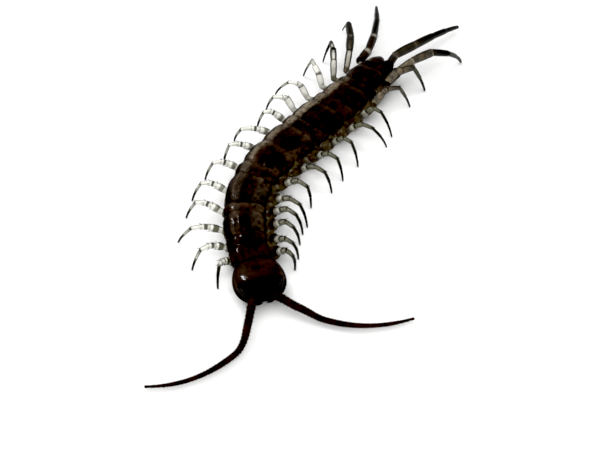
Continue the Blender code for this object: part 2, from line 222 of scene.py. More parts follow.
def makePlateLook():
    look = Look("plateChitin")
    here = look.here
    flat = look.toldWay("flat")
    side, rear, fore, centre = (look.told(name) for name in ("side", "rear", "fore", "centre"))
    streaks = look.clouds(look.stretch(flat, (0.42, 1.0, 1.0)), 2.2, 4.0, 0.65)
    clouds = look.clouds(flat, 0.85, 4.0, 0.6)
    flecks = look.clouds(here, 3.2, 3.0, 0.62)
    fine = look.clouds(here, 9.0, 3.0, 0.6)
    colour = look.mix(look.step(clouds, 0.44, 0.70), plateLook["black"], plateLook["brown"])
    reds = look.step(flecks * 0.6 + streaks * 0.4, 0.50, 0.70) * look.step(clouds, 0.40, 0.60) * 0.6
    colour = look.mix(reds, colour, plateLook["red"])
    mottles = (clouds - 0.5) * 1.1 + (streaks - 0.5) * 0.8
    blots = look.step(flecks + fine * 0.4, 0.50, 0.86) * look.step(clouds, 0.34, 0.60)
    # Dark rim along the plate's side, partly painted edge shade.
    rim = look.step(side / look.told("rimWidth"), 0.65, 1.35)
    band = look.step(centre + mottles, 0.66, 1.10) * blots * rim * look.step(streaks, 0.30, 0.56)
    colour = look.mix(band * look.told("olive"), colour, plateLook["olive"])
    hind = look.step(rear + mottles * 0.5, 0.80, 0.12) * look.step(rear, 0.0, 0.12)
    hind = hind * look.step(streaks, 0.32, 0.62)
    colour = look.mix(hind * look.told("paleRear") * rim * 0.62, colour, plateLook["olive"])
    # Pale side margin: partly pigment and partly painted sheen. The mark pale makes it much stronger on the
    # animal's right, where the light comes from.
    width = plateLook["marginWidth"]
    marginAndSheen = look.step(side + mottles * 0.9, width + 0.10, width - 0.36)
    marginAndSheen = marginAndSheen * look.told("pale") * rim * look.step(streaks + flecks * 0.6 + fine * 0.7, 0.88, 1.34)
    # The margin is darker at each plate's corners.
    corners = look.step(rear + mottles * 0.3, 0.02, 0.26) * look.step(fore + mottles * 0.3, 0.12, 0.40)
    marginAndSheen = marginAndSheen * (0.30 + 0.70 * corners)
    colour = look.mix(marginAndSheen, colour, plateLook["marginAndSheen"])
    neck = look.told("neck") * look.step(clouds * 0.5 + flecks * 0.7, 0.36, 0.84)
    colour = look.mix(neck, colour, headLook["red"])
    pits = look.step(look.cells(here, 5.0), 0.16, 0.05)
    wrinkles = look.clouds(look.stretch(flat, (0.7, 1.0, 1.0)), 4.0, 4.0, 0.65)
    grain = ((wrinkles, 0.018), (pits * -1.0, 0.008), (fine, 0.004))
    constants = {
        "IOR": 1.5, "Specular IOR Level": 0.13, "Coat Roughness": 0.10,
        "Specular Tint": (1.0, 0.80, 0.60, 1.0),
    }
    coat = 0.34 * look.step(side, 0.25, 0.60) * (0.45 + 0.55 * look.step(mottles, -0.10, 0.12))
    return look.wear(colour, 0.30 + 0.22 * fine + 0.25 * (1.0 - rim), grain, coat, **constants)


headLook = {
    "black": (0.0042, 0.0018, 0.0011),
    "brown": (0.0140, 0.0060, 0.0032),
    "red": (0.0360, 0.0150, 0.0080),
    "rearFrom": ((1.2, 0.0), (2.2, 1.0)),
    "rearWithin": ((0.80, 1.0), (0.95, 0.5)),
    "oliveBack": (1.55, 0.36),
    "oliveOut": (1.60, 0.15),
}


def makeHeadLook():
    look = Look("headChitin")
    here = look.here
    clouds = look.clouds(here, 0.8, 4.0, 0.55)
    flecks = look.clouds(here, 3.2, 4.0, 0.65)
    fine = look.clouds(here, 14.0, 2.0, 0.5)
    rear = look.told("rear")
    browns = look.step(clouds, 0.35, 0.7) * (0.15 + 0.85 * rear)
    colour = look.mix(browns, headLook["black"], headLook["brown"])
    reds = rear * look.step(clouds * 0.5 + flecks * 0.7, 0.36, 0.84) * 0.62
    colour = look.mix(reds, colour, headLook["red"])
    colour = look.mix(look.told("olive") * look.step(flecks, 0.35, 0.6) * 0.8, colour, plateLook["olive"])
    colour = look.mix(look.step(look.told("side"), 0.09, 0.03), colour, headLook["black"])
    pits = look.step(look.cells(here, 4.2), 0.14, 0.04)
    mesh = look.cells(here, 16.0, "DISTANCE_TO_EDGE")
    grain = ((clouds, 0.004), (pits * -1.0, 0.005), (mesh, 0.0015))
    constants = {
        "IOR": 1.5, "Specular IOR Level": 0.11, "Coat Roughness": 0.09,
        "Specular Tint": (1.0, 0.70, 0.50, 1.0),
    }
    coat = 0.42 * look.step(look.told("side"), 0.16, 0.50)
    return look.wear(colour, 0.36 + 0.16 * fine, grain, coat, **constants)


skinLook = {
    "dark": (0.0220, 0.0110, 0.0042),
    "olive": (0.0620, 0.0440, 0.0200),
    "rust": (0.0620, 0.0240, 0.0100),
    "pale": (0.3600, 0.3350, 0.2700),
    "black": (0.0050, 0.0022, 0.0014),
}


def makeSkinLook():
    look = Look("pleuralSkin")
    here = look.here
    clouds = look.clouds(here, 1.5, 4.0, 0.6)
    flecks = look.clouds(here, 4.5, 3.0, 0.6)
    blots = look.clouds(here, 2.2, 3.0, 0.6)
    folds = look.clouds(look.stretch(here, (1.0, 1.0, 2.4)), 5.5, 4.0, 0.6)
    colour = look.mix(look.step(clouds, 0.40, 0.62), skinLook["dark"], skinLook["olive"])
    colour = look.mix(look.step(flecks, 0.58, 0.74) * 0.5, colour, skinLook["rust"])
    pale = look.step(blots + (flecks - 0.5) * 0.4, 0.52, 0.80) * 0.4
    # The mark pale lightens the coxae on the animal's right, partly as painted light.
    colour = look.mix(pale.most(look.told("pale") * look.step(flecks, 0.75, 0.35)), colour, skinLook["pale"])
    # The mark dark is painted shade, and partly dark skin on the animal's right flank.
    colour = look.mix(look.told("dark"), colour, skinLook["black"])
    mesh = look.cells(here, 9.0, "DISTANCE_TO_EDGE")
    grain = ((folds, 0.050), (mesh, 0.012), (flecks, 0.010))
    constants = {
        "IOR": 1.45, "Specular IOR Level": 0.15,
        "Subsurface Weight": 0.1, "Subsurface Scale": 0.1 * mm,
    }
    return look.wear(colour, 0.40 + 0.2 * flecks, grain, **constants)


legLook = {
    "pale": (0.800, 0.795, 0.730),
    "grey": (0.540, 0.535, 0.470),
    "olive": (0.125, 0.120, 0.080),
    "warm": (0.024, 0.012, 0.005),
    "tan": (0.150, 0.106, 0.052),
    "umber": (0.022, 0.012, 0.006),
    "dark": (0.0045, 0.0032, 0.0026),
    # edge: the colour of the painted edge shade along the podomeres' sides. face: the way that shade is set
    # from.
    "edge": (0.018, 0.014, 0.009),
    "face": (0.0, -0.78, 0.62),
}


def makeLegLook():
    look = Look("legChitin")
    here = look.here

    def stained(colour, name, stray, low, high):
        return look.mix(look.step(look.told(name) + stray, low, high), colour, legLook[name])

    clouds = look.clouds(here, 2.4, 4.0, 0.6)
    flecks = look.clouds(here, 8.0, 3.0, 0.6)
    colour = look.mix(look.step(clouds, 0.42, 0.70) * 0.6, legLook["pale"], legLook["grey"])
    tan = look.mix(look.step(clouds * 0.6 + flecks * 0.6, 0.52, 0.66), legLook["umber"], legLook["tan"])
    colour = look.mix(look.told("tan") * 0.94, colour, tan)
    colour = stained(colour, "olive", (clouds - 0.5) * 0.6, 0.25, 0.85)
    colour = stained(colour, "warm", (clouds - 0.5) * 0.4, 0.2, 0.9)
    # Painted edge shade: each podomere is darker along its front and rear sides, where its surface turns
    # side-on to the way face, which leans to the front and up.
    normal = look.node("ShaderNodeNewGeometry", None, None, "Normal")
    edgeShadeFacing = look.shift("DOT_PRODUCT", normal, legLook["face"], "Value").size()
    edge = look.told("edge")
    turned = edgeShadeFacing + (flecks - 0.5) * 0.15 - (edge - 1.0).most(0.0) * 0.25
    colour = look.mix(look.step(turned, 0.66, 0.40) * edge.least(1.0), colour, legLook["edge"])
    colour = stained(colour, "dark", (flecks - 0.5) * 0.3, 0.12, 0.92)
    mesh = look.cells(here, 15.0, "DISTANCE_TO_EDGE")
    grain = ((clouds, 0.012), (mesh, 0.004), (flecks, 0.004))
    constants = {
        "IOR": 1.5, "Specular IOR Level": 0.24, "Coat Weight": 0.06, "Coat Roughness": 0.15,
        "Subsurface Weight": 0.15, "Subsurface Scale": 0.2 * mm, "Subsurface Radius": (1.0, 0.9, 0.75),
    }
    return look.wear(colour, 0.32 + 0.18 * flecks, grain, **constants)


feelerLook = {
    "dark": (0.0105, 0.0054, 0.0028),
    "brown": (0.0240, 0.0124, 0.0060),
    "joint": (0.0340, 0.0184, 0.0094),
}


def makeFeelerLook():
    look = Look("feelerChitin")
    here = look.here
    clouds = look.clouds(here, 1.8, 3.0, 0.6)
    flecks = look.clouds(here, 12.0, 3.0, 0.6)
    colour = look.mix(look.step(clouds, 0.35, 0.7), feelerLook["dark"], feelerLook["brown"])
    colour = look.mix(look.told("joint") * 0.8, colour, feelerLook["joint"])
    pits = look.step(look.cells(here, 14.0), 0.2, 0.06)
    grain = ((pits, 0.006), (flecks, 0.004))
    return look.wear(colour, 0.50 + 0.2 * flecks, grain, IOR=1.5, **{"Specular IOR Level": 0.08})


def makeHornLook(name, dark, pale, scale):
    look = Look(name)
    streaks = look.clouds(look.stretch(look.here, (1.0, 1.0, 0.35)), scale, 3.0, 0.6)
    colour = look.mix(look.step(streaks, 0.35, 0.7), dark, pale)
    constants = {"IOR": 1.52, "Coat Weight": 0.3, "Coat Roughness": 0.1}
    return look.wear(colour, 0.22 + 0.15 * streaks, ((streaks, 0.004),), **constants)


# Forcipule colours, darkened partly as painted shade: the parts under the front of the head stand for the
# shade there. The dark claw tips are their own colour.
fangAndShadeLook = {
    "red": (0.030, 0.011, 0.005),
    "pale": (0.070, 0.026, 0.010),
    "dark": (0.010, 0.005, 0.004),
}


def makeFangLook():
    look = Look("fangChitin")
    here = look.here
    clouds = look.clouds(here, 1.6, 4.0, 0.6)
    fine = look.clouds(here, 10.0, 3.0, 0.6)
    colour = look.mix(look.step(clouds, 0.35, 0.7), fangAndShadeLook["red"], fangAndShadeLook["pale"])
    colour = look.mix(look.told("dark"), colour, fangAndShadeLook["dark"])
    pits = look.step(look.cells(here, 6.0), 0.16, 0.05)
    grain = ((clouds, 0.010), (pits * -1.0, 0.010), (fine, 0.004))
    constants = {"IOR": 1.5, "Specular IOR Level": 0.20, "Coat Weight": 0.08, "Coat Roughness": 0.2}
    return look.wear(colour, 0.36 + 0.15 * fine, grain, **constants)


looks = {
    "plate": makePlateLook(),
    "head": makeHeadLook(),
    "skin": makeSkinLook(),
    "leg": makeLegLook(),
    "feeler": makeFeelerLook(),
    "claw": makeHornLook("clawHorn", (0.006, 0.004, 0.003), (0.030, 0.014, 0.007), 6.0),
    "spur": makeHornLook("spurHorn", (0.030, 0.014, 0.006), (0.120, 0.062, 0.024), 6.0),
    "seta": makeHornLook("seta", (0.070, 0.036, 0.014), (0.180, 0.105, 0.045), 4.0),
    "darkSeta": makeHornLook("darkSeta", (0.006, 0.003, 0.002), (0.020, 0.010, 0.005), 4.0),
    "ocellus": makeHornLook("ocellusLens", (0.003, 0.002, 0.002), (0.012, 0.008, 0.008), 12.0),
    "fang": makeFangLook(),
}
print("materials made")

# The spine runs back over the floor from the front of the head.
spine = {
    "start": (-4.765, -13.78),
    "turn": -16.0,
    "bends": ((2.9, 4.3, 4.0), (4.5, 15.3, 52.0), (21.3, 29.5, -13.3)),
    "length": 29.5,
    "step": 0.02,
}


def eased(value, rows):
    if value <= rows[0][0]:
        return rows[0][1]
    for (start, low), (end, high) in zip(rows, rows[1:]):
        if value <= end:
            share = (value - start) / (end - start)
            return low + (high - low) * share * share * (3.0 - 2.0 * share)
    return rows[-1][1]


def bump(value, centre, width):
    return math.exp(-(((value - centre) / width) ** 2))


# A ridge, or a groove where its height is below zero.
def ridge(value, shape):
    height, centre, width = shape
    return height * bump(value, centre, width)


def bentHeading(s, first, bends):
    return first + sum(eased(s, ((start, 0.0), (end, turn))) for start, end, turn in bends)


def spineHeading(s):
    return math.radians(bentHeading(s, spine["turn"], spine["bends"]))


def traceSpine():
    places = [Vector((*spine["start"], 0.0))]
    for step in range(round(spine["length"] / spine["step"])):
        heading = spineHeading((step + 0.5) * spine["step"])
        places.append(places[-1] + Vector((math.sin(heading), math.cos(heading), 0.0)) * spine["step"])
    return places


spinePlaces = traceSpine()


# Place on the spine, with the ways towards the head and the animal's left.
def spineAt(s):
    step = max(0, min(len(spinePlaces) - 2, int(s / spine["step"])))
    place = spinePlaces[step].lerp(spinePlaces[step + 1], s / spine["step"] - step)
    heading = spineHeading(s)
    ahead = Vector((-math.sin(heading), -math.cos(heading), 0.0))
    left = Vector((math.cos(heading), -math.sin(heading), 0.0))
    return place, ahead, left


def headPoint(back, out, height):
    place, ahead, left = spineAt(0.0)
    return place - ahead * back + left * out + up * height


# Plain meshes and pieces.
def meshOf(name, points, faces, marks=None, edges=()):
    mesh = bpy.data.meshes.new(name)
    mesh.from_pydata([point * mm for point in points], edges, faces)
    for mark, values in (marks or {}).items():
        if isinstance(values[0], (tuple, Vector)):
            layer = mesh.attributes.new(mark, "FLOAT_VECTOR", "POINT")
            layer.data.foreach_set("vector", [part for value in values for part in value])
        else:
            layer = mesh.attributes.new(mark, "FLOAT", "POINT")
            layer.data.foreach_set("value", values)
    return mesh


def meshFrom(bm, name):
    mesh = bpy.data.meshes.new(name)
    bm.to_mesh(mesh)
    bm.free()
    return mesh


def faceOut(mesh):
    bm = bmesh.new()
    bm.from_mesh(mesh)
    bmesh.ops.recalc_face_normals(bm, faces=bm.faces[:])
    bm.to_mesh(mesh)
    bm.free()


def drawn(carrier):
    graph = bpy.context.evaluated_depsgraph_get()
    seen = carrier.evaluated_get(graph)
    mesh = bpy.data.meshes.new_from_object(seen, preserve_all_data_layers=True, depsgraph=graph)
    bpy.data.objects.remove(carrier, do_unlink=True)
    return mesh


def addPiece(name, mesh, look, nodes=()):
    mesh.name = name
    mesh.materials.clear()
    mesh.materials.append(looks[look])
    mesh.shade_smooth()
    piece = placed(name, mesh)
    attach(piece, "root")
    if nodes:
        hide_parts(*nodes)


# Geometry trees: each is made once, then run on a carrier mesh with its own values.
class Tree(Graph):
    def __init__(self, name, inputs):
        super().__init__(bpy.data.node_groups.new(name, "GeometryNodeTree"))
        interface = self.tree.interface
        interface.new_socket("Geometry", in_out="INPUT", socket_type="NodeSocketGeometry")
        self.keys = {}
        for label, (kind, value) in inputs.items():
            socket = interface.new_socket(label, in_out="INPUT", socket_type="NodeSocket" + kind)
            if value is not None:
                socket.default_value = value
            self.keys[label] = socket.identifier
        interface.new_socket("Geometry", in_out="OUTPUT", socket_type="NodeSocketGeometry")
        self.start = self.tree.nodes.new("NodeGroupInput")

    def given(self, label):
        return Wire(self, self.start.outputs[label])

    def named(self, name, kind="FLOAT"):
        return self.node("GeometryNodeInputNamedAttribute", {"data_type": kind}, {"Name": name}, "Attribute")

    def keep(self, geometry, name, value, kind="FLOAT", domain="POINT"):
        settings = {"data_type": kind, "domain": domain}
        inputs = {"Geometry": geometry, "Name": name, "Value": value}
        return self.node("GeometryNodeStoreNamedAttribute", settings, inputs, "Geometry")

    # A copy of a shape on each point, its z axis along its way.
    def plant(self, points, shape, way, size):
        turn = self.node("FunctionNodeAlignRotationToVector", {"axis": "Z"}, {"Vector": way})
        inputs = {"Points": points, "Instance": shape, "Rotation": turn, "Scale": size}
        return self.node("GeometryNodeInstanceOnPoints", None, inputs, "Instances")

    def stack(self, x, y, z):
        return self.node("ShaderNodeCombineXYZ", None, {"X": x, "Y": y, "Z": z}, "Vector")

    def end(self, geometry, material):
        geometry = self.node("GeometryNodeRealizeInstances", None, {"Geometry": geometry}, "Geometry")
        inputs = {"Geometry": geometry, "Material": material}
        geometry = self.node("GeometryNodeSetMaterial", None, inputs, "Geometry")
        finish = self.tree.nodes.new("NodeGroupOutput")
        self.tree.links.new(geometry.socket, finish.inputs["Geometry"])

    def run(self, mesh, **values):
        carrier = placed(mesh.name, mesh)
        modifier = carrier.modifiers.new("tree", "NODES")
        modifier.node_group = self.tree
        for label, value in values.items():
            modifier[self.keys[label]] = value
        return drawn(carrier)


# Tubes along the carrier's lines, as thick as each point's mark says.
def makeTubeTree():
    tree = Tree("tubes", {"Sides": ("Int", 14), "Material": ("Material", None)})
    line = tree.node("GeometryNodeMeshToCurve", None, {"Mesh": tree.given("Geometry")}, "Curve")
    inputs = {"Resolution": tree.given("Sides"), "Radius": 1.0}
    ring = tree.node("GeometryNodeCurvePrimitiveCircle", None, inputs, "Curve")
    inputs = {"Curve": line, "Profile Curve": ring, "Scale": tree.named("thickness"), "Fill Caps": True}
    tubes = tree.node("GeometryNodeCurveToMesh", None, inputs, "Mesh")
    tree.end(tubes, tree.given("Material"))
    return tree


# A copy of a small shape on each point, turned to its aim.
def makePlantTree():
    tree = Tree("plants", {"Shape": ("Object", None), "Material": ("Material", None)})
    points = tree.node("GeometryNodeMeshToPoints", None, {"Mesh": tree.given("Geometry")}, "Points")
    shape = tree.node("GeometryNodeObjectInfo", None, {"Object": tree.given("Shape")}, "Geometry")
    aim, size = (tree.named(name, "FLOAT_VECTOR") for name in ("aim", "size"))
    plants = tree.plant(points, shape, aim, size)
    tree.end(plants, tree.given("Material"))
    return tree


# Fine hairs on a surface, leaning along its flow, each with a patch of the baking map at its root.
def makeHairTree():
    tree = Tree("hairs", {
        "Density": ("Float", 10.0), "Length": ("Float", 0.1 * mm), "Thickness": ("Float", 0.006 * mm),
        "Lean": ("Float", 1.0), "Seed": ("Int", 3), "Material": ("Material", None),
    })
    density = tree.named("hairy") * tree.given("Density") / (mm * mm)
    inputs = {"Mesh": tree.given("Geometry"), "Density": density, "Seed": tree.given("Seed")}
    points = tree.node("GeometryNodeDistributePointsOnFaces", None, inputs, "Points")
    normal = Wire(tree, points.socket.node.outputs["Normal"])
    inputs = {0: tree.named("flow", "FLOAT_VECTOR"), "Scale": tree.given("Lean")}
    lean = tree.node("ShaderNodeVectorMath", {"operation": "SCALE"}, inputs, "Vector")
    settings = {"data_type": "FLOAT_VECTOR"}
    inputs = {0: (-0.25, -0.25, -0.25), 1: (0.25, 0.25, 0.25), "Seed": tree.given("Seed")}
    stray = tree.node("FunctionNodeRandomValue", settings, inputs, 0)
    aim = tree.shift("ADD", tree.shift("ADD", normal, lean), stray)
    inputs = {"Vertices": 4, "Side Segments": 2, "Radius Top": 0.0, "Radius Bottom": 1.0, "Depth": 1.0}
    cone = tree.node("GeometryNodeMeshCone", {"fill_type": "NGON"}, inputs, "Mesh")
    chart = Wire(tree, cone.socket.node.outputs["UV Map"])
    hair = tree.keep(cone, "patch", chart, "FLOAT2", "CORNER")
    inputs = {2: 0.6, 3: 1.25, "Seed": tree.given("Seed")}
    long = tree.given("Length") * tree.node("FunctionNodeRandomValue", {"data_type": "FLOAT"}, inputs, 1)
    wide = tree.given("Thickness")
    hairs = tree.plant(points, hair, aim, tree.stack(wide, wide, long))
    hairs = tree.node("GeometryNodeRealizeInstances", None, {"Geometry": hairs}, "Geometry")
    patch = tree.stretch(tree.named("patch", "FLOAT_VECTOR"), (0.003, 0.003, 0.0))
    root = tree.shift("ADD", tree.named("unwrap", "FLOAT_VECTOR"), patch)
    hairs = tree.keep(hairs, "OFBake", root, "FLOAT2", "CORNER")
    tree.end(hairs, tree.given("Material"))
    return tree


tubeTree = makeTubeTree()
plantTree = makePlantTree()
hairTree = makeHairTree()
print("geometry trees made")


# One line of points for a tube: each row is (point, radius, marks).
def linesMesh(name, lines):
    points = []
    edges = []
    marks = {"thickness": [], "flow": [], "unwrap": [], "hairy": []}
    for line in lines:
        first = len(points)
        for index, (point, radius, told) in enumerate(line):
            before = line[max(0, index - 1)][0]
            after = line[min(len(line) - 1, index + 1)][0]
            points.append(point)
            marks["thickness"].append(radius * mm)
            marks["flow"].append((after - before).normalized())
            for mark, value in told.items():
                marks.setdefault(mark, []).append(value)
        edges += [(first + index, first + index + 1) for index in range(len(line) - 1)]
    marks = {mark: values for mark, values in marks.items() if values}
    return meshOf(name, points, [], marks, edges)


def plantsMesh(name, rows):
    points = [point for point, _, _ in rows]
    marks = {"aim": [aim.normalized() for _, aim, _ in rows], "size": [size for _, _, size in rows]}
    return meshOf(name, points, [], marks)


# A closed skin over rings of points.
def sweepRings(bm, rings):
    rows = [[bm.verts.new(point) for point in ring] for ring in rings]
    count = len(rows[0])
    for row, following in zip(rows, rows[1:]):
        for step in range(count):
            nextStep = (step + 1) % count
            bm.faces.new((row[step], row[nextStep], following[nextStep], following[step]))
    bm.faces.new(rows[0])
    bm.faces.new(reversed(rows[-1]))


# A thorn and a lens of a few dozen faces, one metre long and wide until the plants' sizes shrink them.
def thornShape():
    bm = bmesh.new()
    turns = [math.tau * step / 6 for step in range(6)]
    rings = []
    for height, radius in ((0.0, 0.5), (0.3, 0.46), (0.65, 0.28), (1.0, 0.03)):
        rings.append([(math.cos(turn) * radius, math.sin(turn) * radius, height) for turn in turns])
    sweepRings(bm, rings)
    bmesh.ops.recalc_face_normals(bm, faces=bm.faces[:])
    return placed("thorn", meshFrom(bm, "thorn"))


def lensShape():
    bm = bmesh.new()
    bmesh.ops.create_uvsphere(bm, u_segments=12, v_segments=7, radius=0.5)
    return placed("lens", meshFrom(bm, "lens"))


thorn = thornShape()
lens = lensShape()

# The trunk: one row for each segment, with length, half width, height of the back, and how far the
# rear corners of its back plate reach past it.
segments = (
    (1.40, 1.40, 1.92, 0.00), (0.95, 1.42, 1.92, 0.00), (1.85, 1.50, 1.98, 0.00), (0.80, 1.50, 1.98, 0.00),
    (2.60, 1.54, 2.06, 0.00), (1.15, 1.62, 2.06, 0.00), (2.25, 1.76, 2.16, 0.00), (2.30, 1.90, 2.24, 0.00),
    (1.05, 1.94, 2.20, 0.26), (2.45, 1.98, 2.28, 0.00), (1.15, 1.96, 2.24, 0.28), (2.05, 1.90, 2.26, 0.00),
    (0.85, 1.78, 2.16, 0.24), (2.15, 1.60, 2.12, 0.00), (0.95, 1.36, 1.92, 0.00),
)
trunk = {
    "start": 3.35,
    "belly": 0.32,
    "columns": 56,
    "thickness": 0.05,
    "inset": 0.02,
    "tuck": 0.14,
    "overhang": 0.03,
    "rim": (0.035, 0.02, 0.06),
    "groove": (-0.022, 0.15, 0.06),
    "rearRim": (0.014, 0.02, 0.10),
    "boss": (0.05, 0.70, 0.17),
    "bossAlong": (0.45, 0.26),
    "bossLength": 1.8,
    "furrow": (-0.018, 0.36, 0.09),
    "furrowAlong": ((0.1, 0.0), (0.3, 1.0), (0.7, 1.0), (0.95, 0.0)),
    "cornerPower": 5,
    "roundingPowers": {"rear": 9, "fore": 8},
    "foreRounding": 0.6,
    "sag": 0.38,
    "sagPower": 3.8,
    "falls": ((0.0, 0.13), (0.22, 0.03), (0.80, 0.0), (1.0, 0.05)),
    "widths": ((0.0, 0.885), (0.30, 0.970), (0.78, 1.0)),
    "endWidths": (0.940, 0.12),
    "unevenness": 0.050,
    "longOver": 1.3,
    "longPlate": {"rounding": 0.22, "notch": 0.12, "rows": 26},
    "shortPlate": {"rounding": 0.14, "notch": 0.16, "rows": 18},
    "skin": 0.03,
    "drift": ((3.0, 0.0), (4.2, -0.09), (8.0, -0.10), (10.0, -0.16), (13.0, -0.14), (17.0, -0.10),
              (22.0, 0.0)),
    "wider": ((3.0, 0.0), (4.2, 0.06), (8.0, 0.08), (10.5, 0.13), (14.0, 0.11), (17.0, 0.06), (22.0, 0.0)),
    "hair": {"Density": 5.0, "Length": 0.13 * mm, "Thickness": 0.005 * mm, "Lean": 1.2},
}
# How strong each back plate's colour marks are, from the first plate to the last. The pale side margins
# (paleLeft, paleRight) are partly pigment and partly painted sheen: paleRight, on the animal's right where
# the light falls, is much stronger.
tergites = {
    "oliveLeft": (0.3, 0.6, 1.3, 1.2, 1.0, 1.1, 1.4, 1.2, 0.8, 0.5, 0.5, 0.4, 0.2, 0.0, 0.0),
    "oliveRight": (0.3, 0.6, 1.3, 1.2, 1.1, 1.2, 1.2, 1.2, 0.9, 0.7, 0.7, 0.6, 0.3, 0.0, 0.0),
    "paleRear": (0.0, 0.2, 0.6, 1.1, 1.1, 0.9, 1.1, 1.1, 0.3, 0.9, 0.5, 0.7, 0.2, 0.4, 0.0),
    "paleLeft": (0.0, 0.0, 0.1, 0.1, 0.1, 0.0, 0.0, 0.0, 0.0, 0.0, 0.0, 0.0, 0.0, 0.0, 0.0),
    "paleRight": (0.0, 0.0, 0.06, 0.08, 0.10, 0.32, 0.62, 0.52, 0.90, 1.0, 0.95, 0.90, 0.35, 0.0, 0.0),
}
sternite = {
    "columns": 20, "rows": 14, "thickness": -0.04, "inset": 0.05, "shorter": 0.08, "width": 0.56,
    "cornerCut": 0.10, "taper": 0.18, "lift": 0.09, "rim": (-0.02, 0.03, 0.06), "keel": (0.02, 0.0, 0.10),
    "unevenness": 0.02,
    "oliveLeft": 0.6, "oliveRight": 0.6, "paleRear": 0.6, "paleLeft": 0.5, "paleRight": 0.5,
}
telson = {
    "columns": 40, "rows": 22, "thickness": 0.05,
    "number": 16, "start": 26.98, "length": 1.32, "halfWidth": 1.02, "top": 1.98,
    "shorter": 0.42, "cornerCut": 0.12, "archPower": 2.4, "sag": 0.50, "drop": 0.30,
    "widths": ((0.0, 0.86), (0.4, 1.0), (0.8, 0.93), (1.0, 0.72)),
    "rim": (0.03, 0.02, 0.06), "unevenness": 0.02, "marginShare": 2.2,
    # The telson's pale rim on the animal's right is partly painted sheen.
    "oliveLeft": 0.0, "oliveRight": 0.0, "paleRear": 0.0, "paleLeft": 0.0, "paleRight": 0.7,
}


def segmentStart(index):
    return trunk["start"] + sum(row[0] for row in segments[:index])


middles = [(segmentStart(index) + row[0] / 2.0, row) for index, row in enumerate(segments)]


def bodyHalfWidth(s):
    widths = [(trunk["start"], 1.30)] + [(at, row[1]) for at, row in middles] + [(28.4, 0.55)]
    return eased(s, widths) + eased(s, trunk["wider"])


def bodyTop(s):
    return eased(s, [(trunk["start"], 1.80)] + [(at, row[2]) for at, row in middles] + [(28.5, 1.35)])


def bodyPoint(s, out, height):
    place, _, left = spineAt(s)
    return place + left * (out + eased(s, trunk["drift"])) + up * height


slab = {"crowding": 1.15, "bulge": 0.018}


# A thin closed plate over a surface, with a rounded rim. The surface gives (point, marks) for a place
# along and across it; the plate's inner face lies below it, or above it where thickness is negative.
def slabMesh(name, surface, plate):
    columns, rows, thickness = plate["columns"], plate["rows"], plate["thickness"]
    count = columns + 1
    size = count * (rows + 1)
    points = []
    marks = {}
    for row in range(rows + 1):
        along = math.sin(row / rows * math.pi / 2.0) ** slab["crowding"]
        for column in range(count):
            even = column / columns * 2.0 - 1.0
            across = 0.5 * math.sin(even * math.pi / 2.0) + 0.5 * even
            point, told = surface(plate, along, across)
            points.append(point)
            for mark, value in told.items():
                marks.setdefault(mark, []).append(value)
    points += [point - up * thickness for point in points]
    for mark, values in marks.items():
        values += [0.0] * size if mark == "hairy" else list(values)
    faces = []
    for row in range(rows):
        for column in range(columns):
            a = row * count + column
            faces.append((a, a + 1, a + 1 + count, a + count))
            faces.append((a + size, a + count + size, a + 1 + count + size, a + 1 + size))
    loop = list(range(count)) + [row * count + columns for row in range(1, rows + 1)]
    loop += [rows * count + column for column in range(columns - 1, -1, -1)]
    loop += [row * count for row in range(rows - 1, 0, -1)]
    centre = sum((points[index] for index in loop), Vector()) / len(loop)
    first = len(points)
    for index in loop:
        away = points[index] - centre
        away.z = 0.0
        points.append(points[index] - up * thickness / 2.0 + away.normalized() * slab["bulge"])
        for values in marks.values():
            values.append(values[index])
    for step, index in enumerate(loop):
        following = loop[(step + 1) % len(loop)]
        rim, nextRim = first + step, first + (step + 1) % len(loop)
        faces.append((following, index, rim, nextRim))
        faces.append((nextRim, rim, index + size, following + size))
    mesh = meshOf(name, points, faces, marks)
    faceOut(mesh)
    return mesh


def plateMarks(plate, s, out, side, hind, across):
    _, ahead, _ = spineAt(s)
    along = 1.0 - hind / plate["length"]
    half = "Left" if across > 0.0 else "Right"
    (middle, wide), (centre, long) = plateLook["centreAcross"], plateLook["centreAlong"]
    sideRim, rearRim = plateLook["hairyRims"]
    return {
        "side": side, "rear": hind, "fore": along * plate["length"],
        "centre": math.hypot((across - middle) / wide, (along - centre) / long),
        "rimWidth": plateLook["rimWidth"][half.lower()],
        # pale: strength of the pale side margin, partly painted sheen on the animal's right.
        "olive": plate["olive" + half], "pale": plate["pale" + half], "paleRear": plate["paleRear"],
        "neck": eased(s, plateLook["neck"]),
        "flat": Vector((s, out, plate["number"] * 5.0)) * mm,
        "hairy": 1.0 if side < sideRim or hind < rearRim else plateLook["hairyMiddle"],
        "flow": -ahead, "unwrap": (s / spine["length"], 0.5 + across * 0.4, 0.0),
    }


